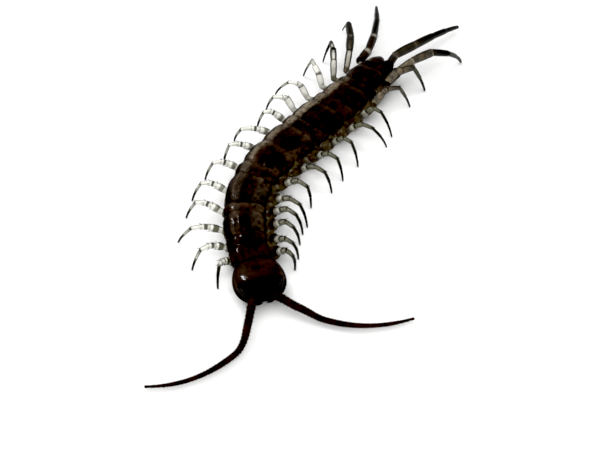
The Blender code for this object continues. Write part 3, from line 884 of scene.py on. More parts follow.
# A back plate: its corners reach back or are rounded, its ends are hollow or bowed, its middle is flat.
def tergiteSurface(plate, along, across):
    length, halfWidth, top, corner = plate["length"], plate["halfWidth"], plate["top"], plate["corner"]
    edge = abs(across)
    powers = trunk["roundingPowers"]
    rear = corner * edge ** trunk["cornerPower"] - plate["notch"] * (1.0 - across * across)
    rear -= 0.0 if corner else plate["rounding"] * edge ** powers["rear"]
    fore = plate["rounding"] * trunk["foreRounding"] * edge ** powers["fore"]
    s = plate["start"] + fore + along * (length + rear - fore)
    end, flare = trunk["endWidths"]
    wide = eased(along, (*trunk["widths"], (1.0, end + corner * flare)))
    out = across * halfWidth * wide
    side = (1.0 - edge) * halfWidth
    hind = (1.0 - along) * length
    fall = eased(along, trunk["falls"])
    fall += trunk["sag"] * (top - trunk["belly"]) * edge ** trunk["sagPower"]
    rise = ridge(side, trunk["rim"]) + ridge(side, trunk["groove"]) + ridge(hind, trunk["rearRim"])
    boss = ridge(edge, trunk["boss"]) * min(1.0, length / trunk["bossLength"])
    rise += boss * bump(along, *trunk["bossAlong"])
    rise += ridge(edge, trunk["furrow"]) * eased(along, trunk["furrowAlong"])
    spot = Vector((out * 1.6, s * 0.8, plate["number"] * 3.1))
    rise += trunk["unevenness"] * noise.fractal(spot, 1.0, 2.0, 3) * (1.0 - edge ** 4)
    point = bodyPoint(s, out, top - fall + rise - trunk["skin"])
    return point, plateMarks(plate, s, out, side, hind, across)


# A belly plate: flat, narrower to the rear.
def sterniteSurface(plate, along, across):
    edge = abs(across)
    cut = plate["cornerCut"] * edge ** 6
    s = plate["start"] + along * (plate["length"] - cut) + cut
    out = across * plate["halfWidth"] * (1.0 - plate["taper"] * along)
    side = (1.0 - edge) * plate["halfWidth"]
    hind = (1.0 - along) * plate["length"]
    rise = plate["lift"] * edge ** 3 + ridge(min(side, hind), plate["rim"]) + ridge(across, plate["keel"])
    spot = Vector((out * 1.6, s * 0.8, plate["number"] * 7.7))
    rise += plate["unevenness"] * noise.fractal(spot, 1.0, 2.0, 3)
    point = bodyPoint(s, out, trunk["belly"] + 0.01 + rise)
    return point, plateMarks(plate, s, out, side, hind, across)


# The last plate: a short, wide dome.
def telsonSurface(plate, along, across):
    edge = abs(across)
    arch = edge ** plate["archPower"]
    s = plate["start"] + along * plate["length"] * (1.0 - plate["shorter"] * arch)
    s += plate["cornerCut"] * edge ** 3
    out = across * plate["halfWidth"] * eased(along, plate["widths"])
    side = (1.0 - edge) * plate["halfWidth"]
    hind = (1.0 - along) * plate["length"]
    fall = plate["sag"] * arch + plate["drop"] * along ** 3
    rise = ridge(min(side, hind), plate["rim"])
    rise += plate["unevenness"] * noise.noise(Vector((out * 2.0, s * 2.0, 9.0)))
    point = bodyPoint(s, out, plate["top"] - fall + rise)
    return point, plateMarks(plate, s, out, side * plate["marginShare"], hind, across)


def makePlates():
    hairy = []
    for index, (length, halfWidth, top, corner) in enumerate(segments):
        number = index + 1
        start = segmentStart(index)
        plate = {name: told[index] for name, told in tergites.items()}
        plate.update({
            "number": number, "top": top, "corner": corner,
            "columns": trunk["columns"], "thickness": trunk["thickness"],
            "start": start - trunk["tuck"], "length": length + trunk["tuck"] + trunk["overhang"],
            "halfWidth": halfWidth - trunk["inset"] + eased(start + length / 2.0, trunk["wider"]),
            **trunk["longPlate" if length > trunk["longOver"] else "shortPlate"],
        })
        mesh = slabMesh("tergite", tergiteSurface, plate)
        hairy.append(mesh.copy())
        node = f"trunk_{number:02d}"
        addPiece(f"tergite_{number:02d}", mesh, "plate", [node])
        plate.update(sternite)
        plate["start"] = start + sternite["inset"]
        plate["length"] = length - sternite["shorter"]
        plate["halfWidth"] = halfWidth * sternite["width"]
        mesh = slabMesh("sternite", sterniteSurface, plate)
        addPiece(f"sternite_{number:02d}", mesh, "plate", [node])
    mesh = slabMesh("telson", telsonSurface, telson)
    hairy.append(mesh.copy())
    addPiece("telson_plate", mesh, "plate", ["telson"])
    return hairy


plateHairs = []
for seed, mesh in enumerate(makePlates()):
    plateHairs.append(hairTree.run(mesh, **trunk["hair"], Seed=seed, Material=looks["seta"]))
print("plates made")

# Legs: swing, reach, knee height, bow, toe and step, as the frame's legs stand.
stations = (4.05, 5.2, 6.6, 8.0, 9.7, 11.7, 13.8, 15.8, 17.5, 19.3, 21.1, 22.8, 24.5, 26.1, 27.4)
stands = {
    "right": (
        (34, 0.74, 1.3, 0, 72, 1.11), (6, 1.64, 1.42, -0.01, 38, 1.07), (-4, 2.1, 1.36, 0.03, 8, 1.12),
        (-18, 2.01, 1.34, -0.01, 31, 0.96), (0, 1.9, 1.43, -0.01, 50, 1),
        (21, 1.86, 1.46, -0.02, 62, 0.89), (39, 1.91, 1.51, 0.12, 94, 1.01),
        (42, 2.32, 1.52, 0.09, 29, 0.68), (28, 1.66, 1.69, 0.03, 58, 0.65),
        (21, 2.17, 1.72, 0.02, 26, 0.72), (12, 2.27, 1.78, 0.03, 21, 1.29),
        (-24, 2.71, 1.9, 0.28, 34, 0.78), (-43, 3.44, 2.09, 0.2, 55, 0.72),
        (-57, 4.96, 1.79, -0.06, -46, 1.62), (-81, 5.4, 1.29, -0.26, -63, 3.41),
    ),
    "left": (
        (34, 1.19, 1.35, 0.04, 80, 0.39), (32, 1.42, 1.38, 0.12, 61, 0.59), (24, 1.57, 1.5, 0, 56, 0.69),
        (15, 1.82, 1.5, -0.01, 56, 0.88), (11, 2, 1.44, 0.09, 50, 1.19), (-5, 1.93, 1.61, 0.04, 45, 0.82),
        (-17, 2.18, 1.71, 0.09, 14, 0.87), (-17, 1.85, 1.7, 0.13, 22, 0.99),
        (-28, 1.71, 1.77, 0.08, 22, 1.19), (-33, 2.25, 1.83, 0.06, -24, 1.29),
        (-43, 1.84, 1.89, -0.03, 7, 1.42), (-69, 2.81, 2, -0.12, -25, 1.1),
        (-76, 3.75, 2.21, -0.06, 1, 1.37), (-57, 5.61, 2.2, -0.55, -75, 2.32),
        (-79, 5.75, 1.49, -0.57, -71, 3.8),
    ),
}
leg = {
    "tipHeight": 0.035,
    "trailingTip": 0.60,
    "rootHeight": 0.95,
    "flankShare": 0.92,
    "rootClearance": 0.08,
    "rootReach": 0.3,
    "coxaLength": 0.40,
    "coxaRise": 0.10,
    "coxaTurn": 0.5,
    "crest": {"right": 0.20, "left": 0.42, "long": 0.15},
    "longFrom": 13,
    "shares": (0.36, 0.63),
    "lastShares": {14: (0.45, 0.76), 15: (0.36, 0.68)},
    "rises": (0.72, 1.0),
    "longRises": (0.92, 1.0),
    "bow": ((0.42, 0.33), (0.76, 0.67)),
    "bulge": {"left": (0.08, 0.05), "right": (0.03, 0.02)},
    "bulgeBefore": 12,
    "darkFrom": 14,
    "radii": (0.235, 0.295, 0.230, 0.180, 0.125, 0.105),
    "sides": 14,
    "tapers": (1.0, 0.97, 0.93, 0.80, 0.88, 0.66),
    "trochanter": (0.35, 0.16),
    "starts": (0.04, -0.06, -0.06),
    "arches": (0.03, 0.03, 0.02),
    "tarsi": ((0.0, 0.46), (0.44, 0.51)),
    "claw": (0.93, 0.07),
    "clawRadius": {"share": 0.42, "taper": 0.92, "tip": 0.004},
    "chart": {"start": 0.02, "column": 0.062, "long": 0.055, "row": 0.06, "left": 0.1, "right": 0.6},
    "hair": {"Density": 9.0, "Length": 0.13 * mm, "Thickness": 0.0055 * mm, "Lean": 0.9},
    "spurs": ((1, 5, 0.24), (2, 5, 0.26), (3, 4, 0.22)),
    "spurWidth": 0.042,
    "spurLengths": (0.8, 1.15),
    "spurStray": (-0.15, 0.15),
    "spurAim": {"onward": 0.95, "outward": 0.65},
    "spurRoot": 0.82,
}
podomeres = ("trochanter", "prefemur", "femur", "tibia", "tarsus1", "tarsus2")
# Radii of the podomeres of the hind legs, which are stouter.
stoutRadii = {
    "left": {12: (0.27, 0.36, 0.29, 0.22, 0.150, 0.115), 13: (0.30, 0.38, 0.36, 0.31, 0.180, 0.130),
             14: (0.30, 0.36, 0.39, 0.32, 0.220, 0.180), 15: (0.30, 0.35, 0.42, 0.40, 0.300, 0.240)},
    "right": {12: (0.23, 0.28, 0.27, 0.20, 0.120, 0.100), 13: (0.24, 0.29, 0.31, 0.22, 0.130, 0.100),
              14: (0.26, 0.30, 0.37, 0.36, 0.110, 0.085), 15: (0.38, 0.39, 0.38, 0.33, 0.250, 0.205)},
}
# How far single joints stand from the plain rule, over the floor.
legShifts = {
    "left": {
        12: {"prefemur": (0.13, 0.12), "femur": (-0.07, -0.21)},
        13: {"root": (0.0, 0.43), "coxa": (0.13, 0.92), "prefemur": (0.29, 0.61), "knee": (-0.09, -0.28)},
        14: {"root": (0.0, 0.55), "coxa": (0.18, 0.84), "femur": (0.05, 0.15), "knee": (0.0, 0.13)},
        15: {"root": (-0.63, 0.3), "coxa": (-0.57, 0.69), "prefemur": (-0.7, -0.26), "femur": (-0.08, -0.37)},
    },
    "right": {
        10: {"coxa": (-0.40, -0.13), "prefemur": (-0.24, 0.39)},
        11: {"coxa": (-0.45, -0.07), "prefemur": (-0.26, 0.29)},
        12: {"coxa": (-0.41, 0.0)},
        13: {"coxa": (-0.51, -0.25), "prefemur": (-0.07, -0.27), "femur": (0.10, 0.16)},
        14: {"coxa": (-0.39, -0.37), "prefemur": (-0.08, -0.88), "femur": (0.11, -0.51), "knee": (0.1, 0.21)},
        15: {"prefemur": (-0.14, -0.79), "femur": (-0.13, -0.43), "knee": (-0.05, 0.39)},
    },
}


def flankHalfWidth(s):
    widths = []
    for index, (length, halfWidth, _, _) in enumerate(segments):
        start = segmentStart(index)
        if start - leg["rootReach"] < s < start + length + leg["rootReach"]:
            widths.append(halfWidth)
    return max(widths)


# The ends of a leg's podomeres, by the stances and shifts above.
def legJoints(side, index):
    number = index + 1
    swing, reach, kneeHeight, bow, toe, step = stands[side][index]
    place, ahead, left = spineAt(stations[index])
    out = left * sides[side]

    def turned(angle):
        return out * math.cos(math.radians(angle)) + ahead * math.sin(math.radians(angle))

    rootOut = flankHalfWidth(stations[index]) * leg["flankShare"] + leg["rootClearance"]
    root = place + out * rootOut + up * leg["rootHeight"]
    coxaEnd = root + turned(swing * leg["coxaTurn"]) * leg["coxaLength"] + up * leg["coxaRise"]
    knee = coxaEnd + turned(swing) * reach
    knee.z = kneeHeight
    long = number >= leg["longFrom"]
    crest = leg["crest"]["long" if long else side]
    joints = {"root": root, "coxa": coxaEnd, "knee": knee}
    shares = leg["lastShares"].get(number, leg["shares"])
    for name, share, rise in zip(("prefemur", "femur"), shares, leg["longRises" if long else "rises"]):
        joints[name] = coxaEnd.lerp(knee, share) + turned(swing + 90.0) * bow
        joints[name].z = coxaEnd.z + (kneeHeight + crest - coxaEnd.z) * rise
    tip = knee + turned(toe) * step
    tip.z = leg["trailingTip" if number == len(segments) else "tipHeight"]
    for name, (x, y) in legShifts[side].get(number, {}).items():
        joints[name] += Vector((x, y, 0.0))
    joints["tip"] = tip
    joints["bowed"] = []
    for (share, down), bulge in zip(leg["bow"], leg["bulge"][side]):
        point = joints["knee"].lerp(tip, share) + out * (bulge if number < leg["bulgeBefore"] else 0.0)
        point.z = knee.z + (tip.z - knee.z) * down
        joints["bowed"].append(point)
    return joints


# A smooth curve through some points, with count points on each stretch.
def smoothed(points, count):
    ends = [points[0] * 2.0 - points[1]] + list(points) + [points[-1] * 2.0 - points[-2]]
    curve = []
    for index in range(1, len(ends) - 2):
        p0, p1, p2, p3 = ends[index - 1:index + 3]
        for step in range(count):
            t = step / count
            square, cube = t * t, t * t * t
            curve.append(0.5 * (p1 * 2.0 + (p2 - p0) * t + (p0 * 2.0 - p1 * 5.0 + p2 * 4.0 - p3) * square
                                + (p1 * 3.0 - p0 - p2 * 3.0 + p3) * cube))
    curve.append(points[-1])
    return curve


def alongLine(line, share):
    lengths = [0.0]
    for first, second in zip(line, line[1:]):
        lengths.append(lengths[-1] + (second - first).length)
    target = lengths[-1] * share
    for index in range(len(line) - 1):
        if target <= lengths[index + 1]:
            part = (target - lengths[index]) / max(1e-9, lengths[index + 1] - lengths[index])
            return line[index].lerp(line[index + 1], part)
    return line[-1]


# Colour marks along each podomere, for each kind of leg: its share of the length, then the five marks. The
# fifth mark, edge, sets how strong the painted edge shade is.
markNames = ("olive", "dark", "tan", "warm", "edge")
blackFoot = {
    "tarsus1": ((0, 1, 0.85, 0, 0, 1), (0.25, 1, 0.75, 0, 0, 1), (1, 1, 0.92, 0, 0, 1)),
    "tarsus2": ((0, 1, 0.92, 0, 0, 1), (0.5, 1, 1, 0, 0, 1)),
}
greyFoot = {
    "tarsus1": ((0, 0.8, 0.8, 0, 0, 1), (0.2, 0.55, 0.38, 0, 0, 1), (0.8, 0.55, 0.36, 0, 0, 1),
                (1, 0.8, 0.6, 0, 0, 1)),
    "tarsus2": ((0, 0.8, 0.6, 0, 0, 1), (0.35, 1, 0.85, 0, 0, 1), (1, 1, 1, 0, 0, 1)),
}
darkFoot = {"tarsus2": ((0, 0, 0.9, 1, 0.3, 1), (1, 0, 0.95, 0.5, 0, 1))}
brownFoot = {
    "tarsus1": ((0, 0.7, 0.5, 0.4, 0.3, 1), (1, 0.9, 0.62, 0.2, 0.2, 1)),
    "tarsus2": ((0, 0.9, 0.7, 0.1, 0.2, 1), (0.6, 1, 0.95, 0, 0, 1)),
}
legKinds = {
    # pale: the right legs' pale bars, partly pigment and partly painted light.
    "pale": {
        "trochanter": ((0, 0.2, 0, 0, 0, 0.3),),
        "prefemur": ((0, 0.1, 0, 0, 0, 0.3), (0.18, 0.15, 0, 0, 0, 0.4), (0.36, 0.72, 0.12, 0, 0, 0.7),
                     (0.64, 0.72, 0.12, 0, 0, 0.7), (0.82, 0.08, 0, 0, 0, 0.4), (1, 0, 0, 0, 0, 0.25)),
        "femur": ((0.36, 0, 0, 0, 0, 0.3), (0.52, 0.6, 0.7, 0, 0, 0.6), (0.68, 0.6, 0.7, 0, 0, 0.6),
                  (0.84, 0, 0, 0, 0, 0.4)),
        "tibia": ((0, 0, 0, 0, 0, 0.5), (0.8, 0.05, 0, 0, 0, 0.6), (1, 0.5, 0.6, 0, 0, 0.9)),
        **greyFoot,
    },
    "spotted": {
        "trochanter": ((0, 0.22, 0, 0, 0, 0.5),),
        "prefemur": ((0, 0.2, 0, 0, 0, 0.5), (0.2, 0.35, 0.1, 0, 0, 0.6), (0.34, 0.9, 0.2, 0, 0, 0.7),
                     (0.68, 0.9, 0.16, 0, 0, 0.7), (0.86, 0.2, 0, 0, 0, 0.5), (1, 0.1, 0, 0, 0, 0.4)),
        "femur": ((0.24, 0.2, 0, 0, 0, 0.5), (0.42, 0.7, 0.48, 0, 0, 0.7), (0.66, 0.7, 0.45, 0, 0, 0.7),
                  (0.84, 0.1, 0, 0, 0, 0.5)),
        "tibia": ((0, 0.1, 0, 0, 0, 0.8), (0.8, 0.2, 0.1, 0, 0, 0.9), (1, 0.7, 0.7, 0, 0, 1)),
        **greyFoot,
    },
    "first": {
        "trochanter": ((0, 0.9, 0.25, 0, 0, 0.5),),
        "prefemur": ((0, 0.95, 0.2, 0, 0, 0.6), (0.4, 1, 0.42, 0, 0.2, 0.8),
                     (0.8, 0.9, 0.3, 0, 0.1, 0.8), (1, 0.5, 0, 0, 0, 0.5)),
        "femur": ((0, 0.5, 0, 0, 0, 0.6), (1, 0.4, 0.05, 0, 0, 0.7)),
        "tibia": ((0, 0.4, 0.05, 0, 0, 0.8), (1, 0.7, 0.6, 0, 0, 0.9)),
        **blackFoot,
    },
    "late": {
        "trochanter": ((0, 0.5, 0.1, 0.3, 0, 0.6),),
        "prefemur": ((0, 0.6, 0.3, 0.2, 0, 0.9), (0.2, 0.35, 0.1, 0.25, 0, 0.8),
                     (0.45, 0.15, 0, 0.15, 0, 0.75), (0.8, 0.2, 0, 0.15, 0, 0.8),
                     (0.93, 0.7, 0.6, 0, 0, 0.9)),
        "femur": ((0, 0.6, 0.6, 0, 0, 0.9), (0.35, 0.3, 0.1, 0, 0, 0.7), (1, 0.1, 0, 0, 0, 0.6)),
        "tibia": ((0, 0, 0, 0, 0, 0.4), (0.7, 0.05, 0, 0, 0, 0.5), (1, 0.3, 0.3, 0, 0, 0.9)),
        **greyFoot,
    },
    "barred": {
        "trochanter": ((0, 1, 0.3, 0.3, 0.3, 1.5),),
        "prefemur": ((0, 0.9, 0.3, 0.3, 0.2, 1.8), (0.25, 0.45, 0, 0.4, 0, 1.8),
                     (0.9, 0.3, 0, 0.2, 0, 1.8)),
        "femur": ((0, 0.3, 0, 0.2, 0, 1.8), (0.55, 0.2, 0, 0.1, 0, 1.6), (0.8, 1, 1, 0, 0, 1)),
        "tibia": ((0, 1, 1, 0, 0, 1), (0.22, 0.1, 0, 0, 0, 1), (1, 0.3, 0.1, 0, 0, 1.4)),
        **blackFoot,
    },
    "ringed": {
        "trochanter": ((0, 0, 0.35, 1, 0.3, 1.8),),
        "prefemur": ((0, 0, 0.2, 0.9, 0.1, 2), (0.2, 0, 0.05, 0.75, 0, 1.9), (0.85, 0, 0, 0.55, 0, 1.9),
                     (0.95, 0, 0.5, 0.8, 0.2, 2)),
        "femur": ((0, 0, 0.5, 0.8, 0.2, 2), (0.15, 0, 0.35, 1, 0.2, 1.8), (0.6, 0, 0.28, 1, 0.1, 1.8),
                  (0.85, 0, 0, 0.6, 0, 1.4), (1, 0, 0.45, 0.8, 0.2, 1.6)),
        "tibia": ((0, 0, 0.5, 1, 0.3, 2), (0.5, 0, 0.42, 1, 0.2, 1.8), (1, 0, 0.6, 0.8, 0.2, 1.6)),
        **greyFoot,
    },
    # umber and shaded: left legs, their near parts darker partly as painted shade beside the body.
    "umber": {
        "trochanter": ((0, 0.6, 0.45, 0.6, 0.8, 0.8),),
        "prefemur": ((0, 0.6, 0.5, 0.6, 0.9, 1), (0.62, 0.6, 0.38, 0.7, 0.7, 1),
                     (0.85, 0.6, 0.1, 0.5, 0.2, 0.8), (1, 0.6, 0, 0.4, 0, 0.6)),
        "femur": ((0, 0.7, 0.4, 0.4, 0.2, 0.8), (0.15, 0.9, 0.8, 0.3, 0.3, 1),
                  (0.35, 0.8, 0.35, 0.4, 0.2, 1.2), (1, 0.78, 0.12, 0.4, 0, 1.5)),
        "tibia": ((0, 0.78, 0.12, 0.4, 0, 1.5), (0.6, 0.8, 0.3, 0.3, 0, 1.5), (1, 1, 0.85, 0, 0, 1.4)),
        **blackFoot,
    },
    "shaded": {
        "trochanter": ((0, 0.4, 0.1, 0.9, 0.2, 0.6),),
        "prefemur": ((0, 0.4, 0.2, 0.9, 0.3, 0.8), (0.5, 0.5, 0.2, 0.8, 0.3, 0.8),
                     (0.7, 0.5, 0.05, 0.7, 0.1, 0.7), (0.86, 0.45, 0, 0.45, 0, 0.5),
                     (1, 0.55, 0, 0.4, 0, 0.6)),
        "femur": ((0, 0.7, 0.3, 0.3, 0, 0.6), (0.12, 0.9, 0.8, 0.3, 0.3, 0.8),
                  (0.3, 0.8, 0.4, 0.3, 0.2, 1), (0.5, 0.7, 0, 0.3, 0, 1.5), (1, 0.74, 0.05, 0.3, 0, 1.5)),
        "tibia": ((0, 0.74, 0.05, 0.3, 0, 1.5), (0.6, 0.74, 0.2, 0.3, 0, 1.5), (1, 1, 0.85, 0, 0, 1.4)),
        **blackFoot,
    },
    "brown": {
        "trochanter": ((0, 0.3, 0.3, 1, 0.5, 0.8),),
        "prefemur": ((0, 0.2, 0.35, 1, 0.5, 1.2), (0.4, 0, 0.2, 1, 0.2, 1.5), (1, 0, 0.1, 1, 0, 1.5)),
        "femur": ((0, 0.2, 0.55, 1, 0.4, 1.2), (0.2, 0, 0.2, 1, 0.1, 1.5), (1, 0, 0.3, 1, 0.1, 1.5)),
        "tibia": ((0, 0, 0.4, 1, 0.3, 1.4), (1, 0, 0.65, 1, 0.3, 1.4)),
        **brownFoot,
    },
    "stout": {
        "trochanter": ((0, 0.3, 0.4, 1, 0.5, 0.8),),
        "prefemur": ((0, 0.2, 0.35, 1, 0.6, 1.2), (0.3, 0, 0.2, 1, 0.3, 1.4), (0.9, 0, 0.1, 1, 0.1, 1.2),
                     (1, 0, 0, 0.8, 0, 0.6)),
        "femur": ((0, 0, 0.6, 1, 0.3, 1.2), (0.2, 0, 0.5, 1, 0.1, 1.6), (0.85, 0, 0.55, 1, 0.1, 1.6),
                  (0.96, 0, 0.2, 1, 0, 0.8)),
        "tibia": ((0, 0, 0.75, 1, 0.5, 1), (1, 0, 0.88, 1, 0.5, 1)),
        **blackFoot,
    },
    "dark": {
        "trochanter": ((0, 0, 0.8, 1, 0.6, 1),),
        "prefemur": ((0, 0, 0.8, 1, 0.6, 1.5), (0.7, 0, 0.7, 1, 0.4, 1.5), (0.86, 0, 0.35, 1, 0, 0.8),
                     (1, 0, 0.3, 1, 0, 0.6)),
        "femur": ((0, 0, 0.5, 1, 0.1, 0.8), (0.15, 0, 0.7, 1, 0.1, 1.6), (0.84, 0, 0.72, 1, 0.1, 1.6),
                  (0.95, 0, 0.5, 1, 0, 1)),
        "tibia": ((0, 0, 0.6, 1, 0.2, 1), (0.15, 0, 0.72, 1, 0.5, 1.6), (1, 0, 0.86, 1, 0.5, 1.6)),
        "tarsus1": ((0, 0, 0.86, 1, 0.5, 1.4), (1, 0, 0.9, 1, 0.3, 1)),
        **darkFoot,
    },
    "darker": {
        "trochanter": ((0, 0, 0.6, 1, 0.9, 1),),
        "prefemur": ((0, 0, 0.5, 1, 0.9, 1.4), (0.62, 0, 0.45, 1, 0.8, 1.4), (0.8, 0, 0.1, 0.8, 0, 0.8),
                     (1, 0, 0.1, 0.8, 0, 0.6)),
        "femur": ((0, 0, 0.2, 1, 0.5, 0.8), (0.15, 0, 0.45, 1, 0.9, 1.4), (0.72, 0, 0.5, 1, 0.8, 1.4),
                  (0.86, 0, 0, 0.8, 0, 0.6), (1, 0, 0.1, 0.8, 0, 0.6)),
        "tibia": ((0, 0, 0.5, 1, 0.2, 1), (0.12, 0, 0.82, 1, 0.3, 1.4), (1, 0, 0.88, 1, 0.3, 1.4)),
        "tarsus1": ((0, 0, 0.86, 1, 0.3, 1.2), (1, 0, 0.9, 1, 0.3, 1)),
        **darkFoot,
    },
}
# From the first leg to the last. The left legs' kinds are darker and the right legs' kinds paler, partly as
# painted shade and painted light: the light falls from the animal's right.
kindsOf = {
    "left": ["shaded"] * 6 + ["umber"] * 5 + ["brown"] * 2 + ["stout", "dark"],
    "right": ["first"] + ["spotted"] * 2 + ["pale"] * 6 + ["late"] * 3 + ["barred", "ringed", "darker"],
}
podomereRings = ((0.0, 0.74), (0.08, 0.80), (0.22, 0.90), (0.45, 0.98), (0.70, 1.0), (0.88, 0.99),
                 (0.96, 0.95), (1.0, 0.80))
hairiness = {"trochanter": 0.3, "prefemur": 0.6, "femur": 0.8, "tibia": 1.1, "tarsus1": 1.6, "tarsus2": 2.0}


def podomereLine(name, line, radius, taper, kind, cell):
    rings = podomereRings
    if name in ("tibia", "tarsus1", "tarsus2"):
        rings = [(share, 1.0 + (size - 1.0) * 0.4) for share, size in podomereRings]
    dense = []
    for (start, low), (end, high) in zip(rings, rings[1:]):
        pieces = max(1, round((end - start) * 14))
        parts = [step / pieces for step in range(pieces)]
        dense += [(start + (end - start) * part, low + (high - low) * part) for part in parts]
    dense.append(rings[-1])
    spots = legKinds[kind][name]
    rows = []
    for share, size in dense:
        told = {"hairy": hairiness[name]}
        for column, mark in enumerate(markNames, 1):
            told[mark] = eased(share, [(row[0], row[column]) for row in spots])
        told["unwrap"] = (cell[0] + leg["chart"]["long"] * share, cell[1], 0.0)
        rows.append((alongLine(line, share), radius * size * (1.0 + (taper - 1.0) * share), told))
    return rows


def arched(first, last, height):
    return smoothed([first, first.lerp(last, 0.5) + up * height, last], 6)


def legLines(side, index):
    joints = legJoints(side, index)
    radii = stoutRadii[side].get(index + 1, leg["radii"])
    kind = kindsOf[side][index]
    coxa = joints["coxa"]
    inward, onward = leg["trochanter"]
    lines = [[coxa.lerp(joints["root"], inward), coxa, coxa.lerp(joints["prefemur"], onward)]]
    ends = [joints[name] for name in ("coxa", "prefemur", "femur", "knee")]
    for first, last, start, height in zip(ends, ends[1:], leg["starts"], leg["arches"]):
        lines.append(arched(first.lerp(last, start), last, height))
    tarsus = smoothed([joints["knee"], *joints["bowed"], joints["tip"]], 8)
    for start, share in leg["tarsi"]:
        lines.append([alongLine(tarsus, start + step / 16 * share) for step in range(17)])
    rows = []
    chart = leg["chart"]
    for step, (name, line) in enumerate(zip(podomeres, lines)):
        cell = (chart["start"] + index * chart["column"], chart[side] + step * chart["row"])
        rows.append(podomereLine(name, line, radii[step], leg["tapers"][step], kind, cell))
    start, share = leg["claw"]
    claw = [alongLine(tarsus, start + step / 6 * share) for step in range(7)]
    wide = leg["clawRadius"]
    size = radii[-1] * wide["share"]
    radii = [size * (1.0 - wide["taper"] * step / 6) + wide["tip"] for step in range(7)]
    return rows, [(point, radius, {}) for point, radius in zip(claw, radii)]


def makeLegs():
    random.seed(15)
    hairs = {"left": [], "right": []}
    claws = {"left": [], "right": []}
    spurs = {"left": [], "right": []}
    for side in sides:
        for index in range(len(segments)):
            lines, claw = legLines(side, index)
            claws[side].append(claw)
            name = f"leg_{side}_{index + 1:02d}"
            mesh = tubeTree.run(linesMesh(name, lines), Sides=leg["sides"], Material=looks["leg"])
            addPiece(name.replace("leg_", "limb_"), mesh, "leg", [name])
            spurs[side] += legSpurs(lines)
            seed = index * 2 + (side == "left")
            hairs[side].append(hairTree.run(mesh.copy(), **leg["hair"], Seed=seed, Material=looks["seta"]))
    for side in sides:
        mesh = tubeTree.run(linesMesh("claws", claws[side]), Sides=8, Material=looks["claw"])
        addPiece(f"claws_{side}", mesh, "claw")
        mesh = plantTree.run(plantsMesh("spurs", spurs[side]), Shape=thorn, Material=looks["spur"])
        addPiece(f"spurs_{side}", mesh, "spur")
        joinHairs(f"setae_legs_{side}", hairs[side])


# Stout spurs stand round the far ends of prefemur, femur and tibia.
def legSpurs(lines):
    rows = []
    wide = leg["spurWidth"] * mm
    for number, count, size in leg["spurs"]:
        point, radius, _ = lines[number][-2]
        before = lines[number][-5][0]
        axis = (point - before).normalized()
        across = axis.cross(up).normalized()
        over = across.cross(axis)
        for step in range(count):
            turn = math.tau * (step + random.uniform(*leg["spurStray"])) / count
            outward = across * math.cos(turn) + over * math.sin(turn)
            aim = axis * leg["spurAim"]["onward"] + outward * leg["spurAim"]["outward"]
            long = size * random.uniform(*leg["spurLengths"])
            rows.append((point + outward * radius * leg["spurRoot"], aim, (wide, wide, long * mm)))
    return rows


def joinHairs(name, meshes):
    bm = bmesh.new()
    for mesh in meshes:
        bm.from_mesh(mesh)
    addPiece(name, meshFrom(bm, name), "seta")


makeLegs()
joinHairs("setae_plates", plateHairs)
print("legs made")

# Skin: the trunk between the plates, grown together with the thirty coxae.
skin = {
    "start": 3.2,
    "end": 28.35,
    "voxel": 0.075,
    "smoothing": 4,
    "ringStep": 0.20,
    "section": ((0.0, 0.93), (0.42, 0.90), (0.76, 0.78), (0.93, 0.60), (0.96, 0.50), (1.05, 0.38),
                (0.98, 0.24), (0.70, 0.10), (0.34, 0.05)),
    "pinch": {"share": 0.07, "long": 0.16, "drop": 0.05},
    "coxaRadii": ((0.0, 0.42), (0.5, 0.43), (0.8, 0.40), (1.0, 0.31)),
    "coxaSpreads": {
        "left": ((0.0, 1.8), (0.5, 1.75), (0.8, 1.6), (1.0, 1.25)),
        "right": ((0.0, 1.0), (1.0, 0.9)),
    },
    "coxaReach": {"left": 0.42, "right": -0.1},
    "thinnerFrom": {"left": 16, "right": 10},
    "thinner": 0.65,
    "coxaInset": 0.75,
    "coxaDrops": (0.12, 0.02),
    "folds": (0.035, (3.0, 3.0, 9.0)),
    "coarseFolds": (0.03, 2.2),
    "flanks": ((0.70, 0.0), (0.85, 1.0)),
    # Painted shade: the skin is darker near its top under the plates, along its middle, and on the animal's
    # right flank under the plate edges, where it is partly dark skin.
    "shadeUnderPlates": ((0.62, 0.0), (0.80, 1.0)),
    "darkAndShadeRight": ((0.75, 0.0), (0.88, 1.0)),
    "shadeMiddle": (0.55, ((0.5, 1.0), (1.0, 0.0))),
    # Pale coxae on the animal's right, partly painted light.
    "pale": (0.9, ((0.02, 0.0), (0.22, 1.0))),
}


def tubeRings(line, radii, spreads, count):
    turns = [math.tau * step / count for step in range(count)]
    rings = []
    for index, (point, radius) in enumerate(zip(line, radii)):
        axis = (line[min(len(line) - 1, index + 1)] - line[max(0, index - 1)]).normalized()
        across = axis.cross(up).normalized()
        over = across.cross(axis)
        across = across * spreads[index]
        rings.append([point + (across * math.cos(turn) + over * math.sin(turn)) * radius for turn in turns])
    return rings


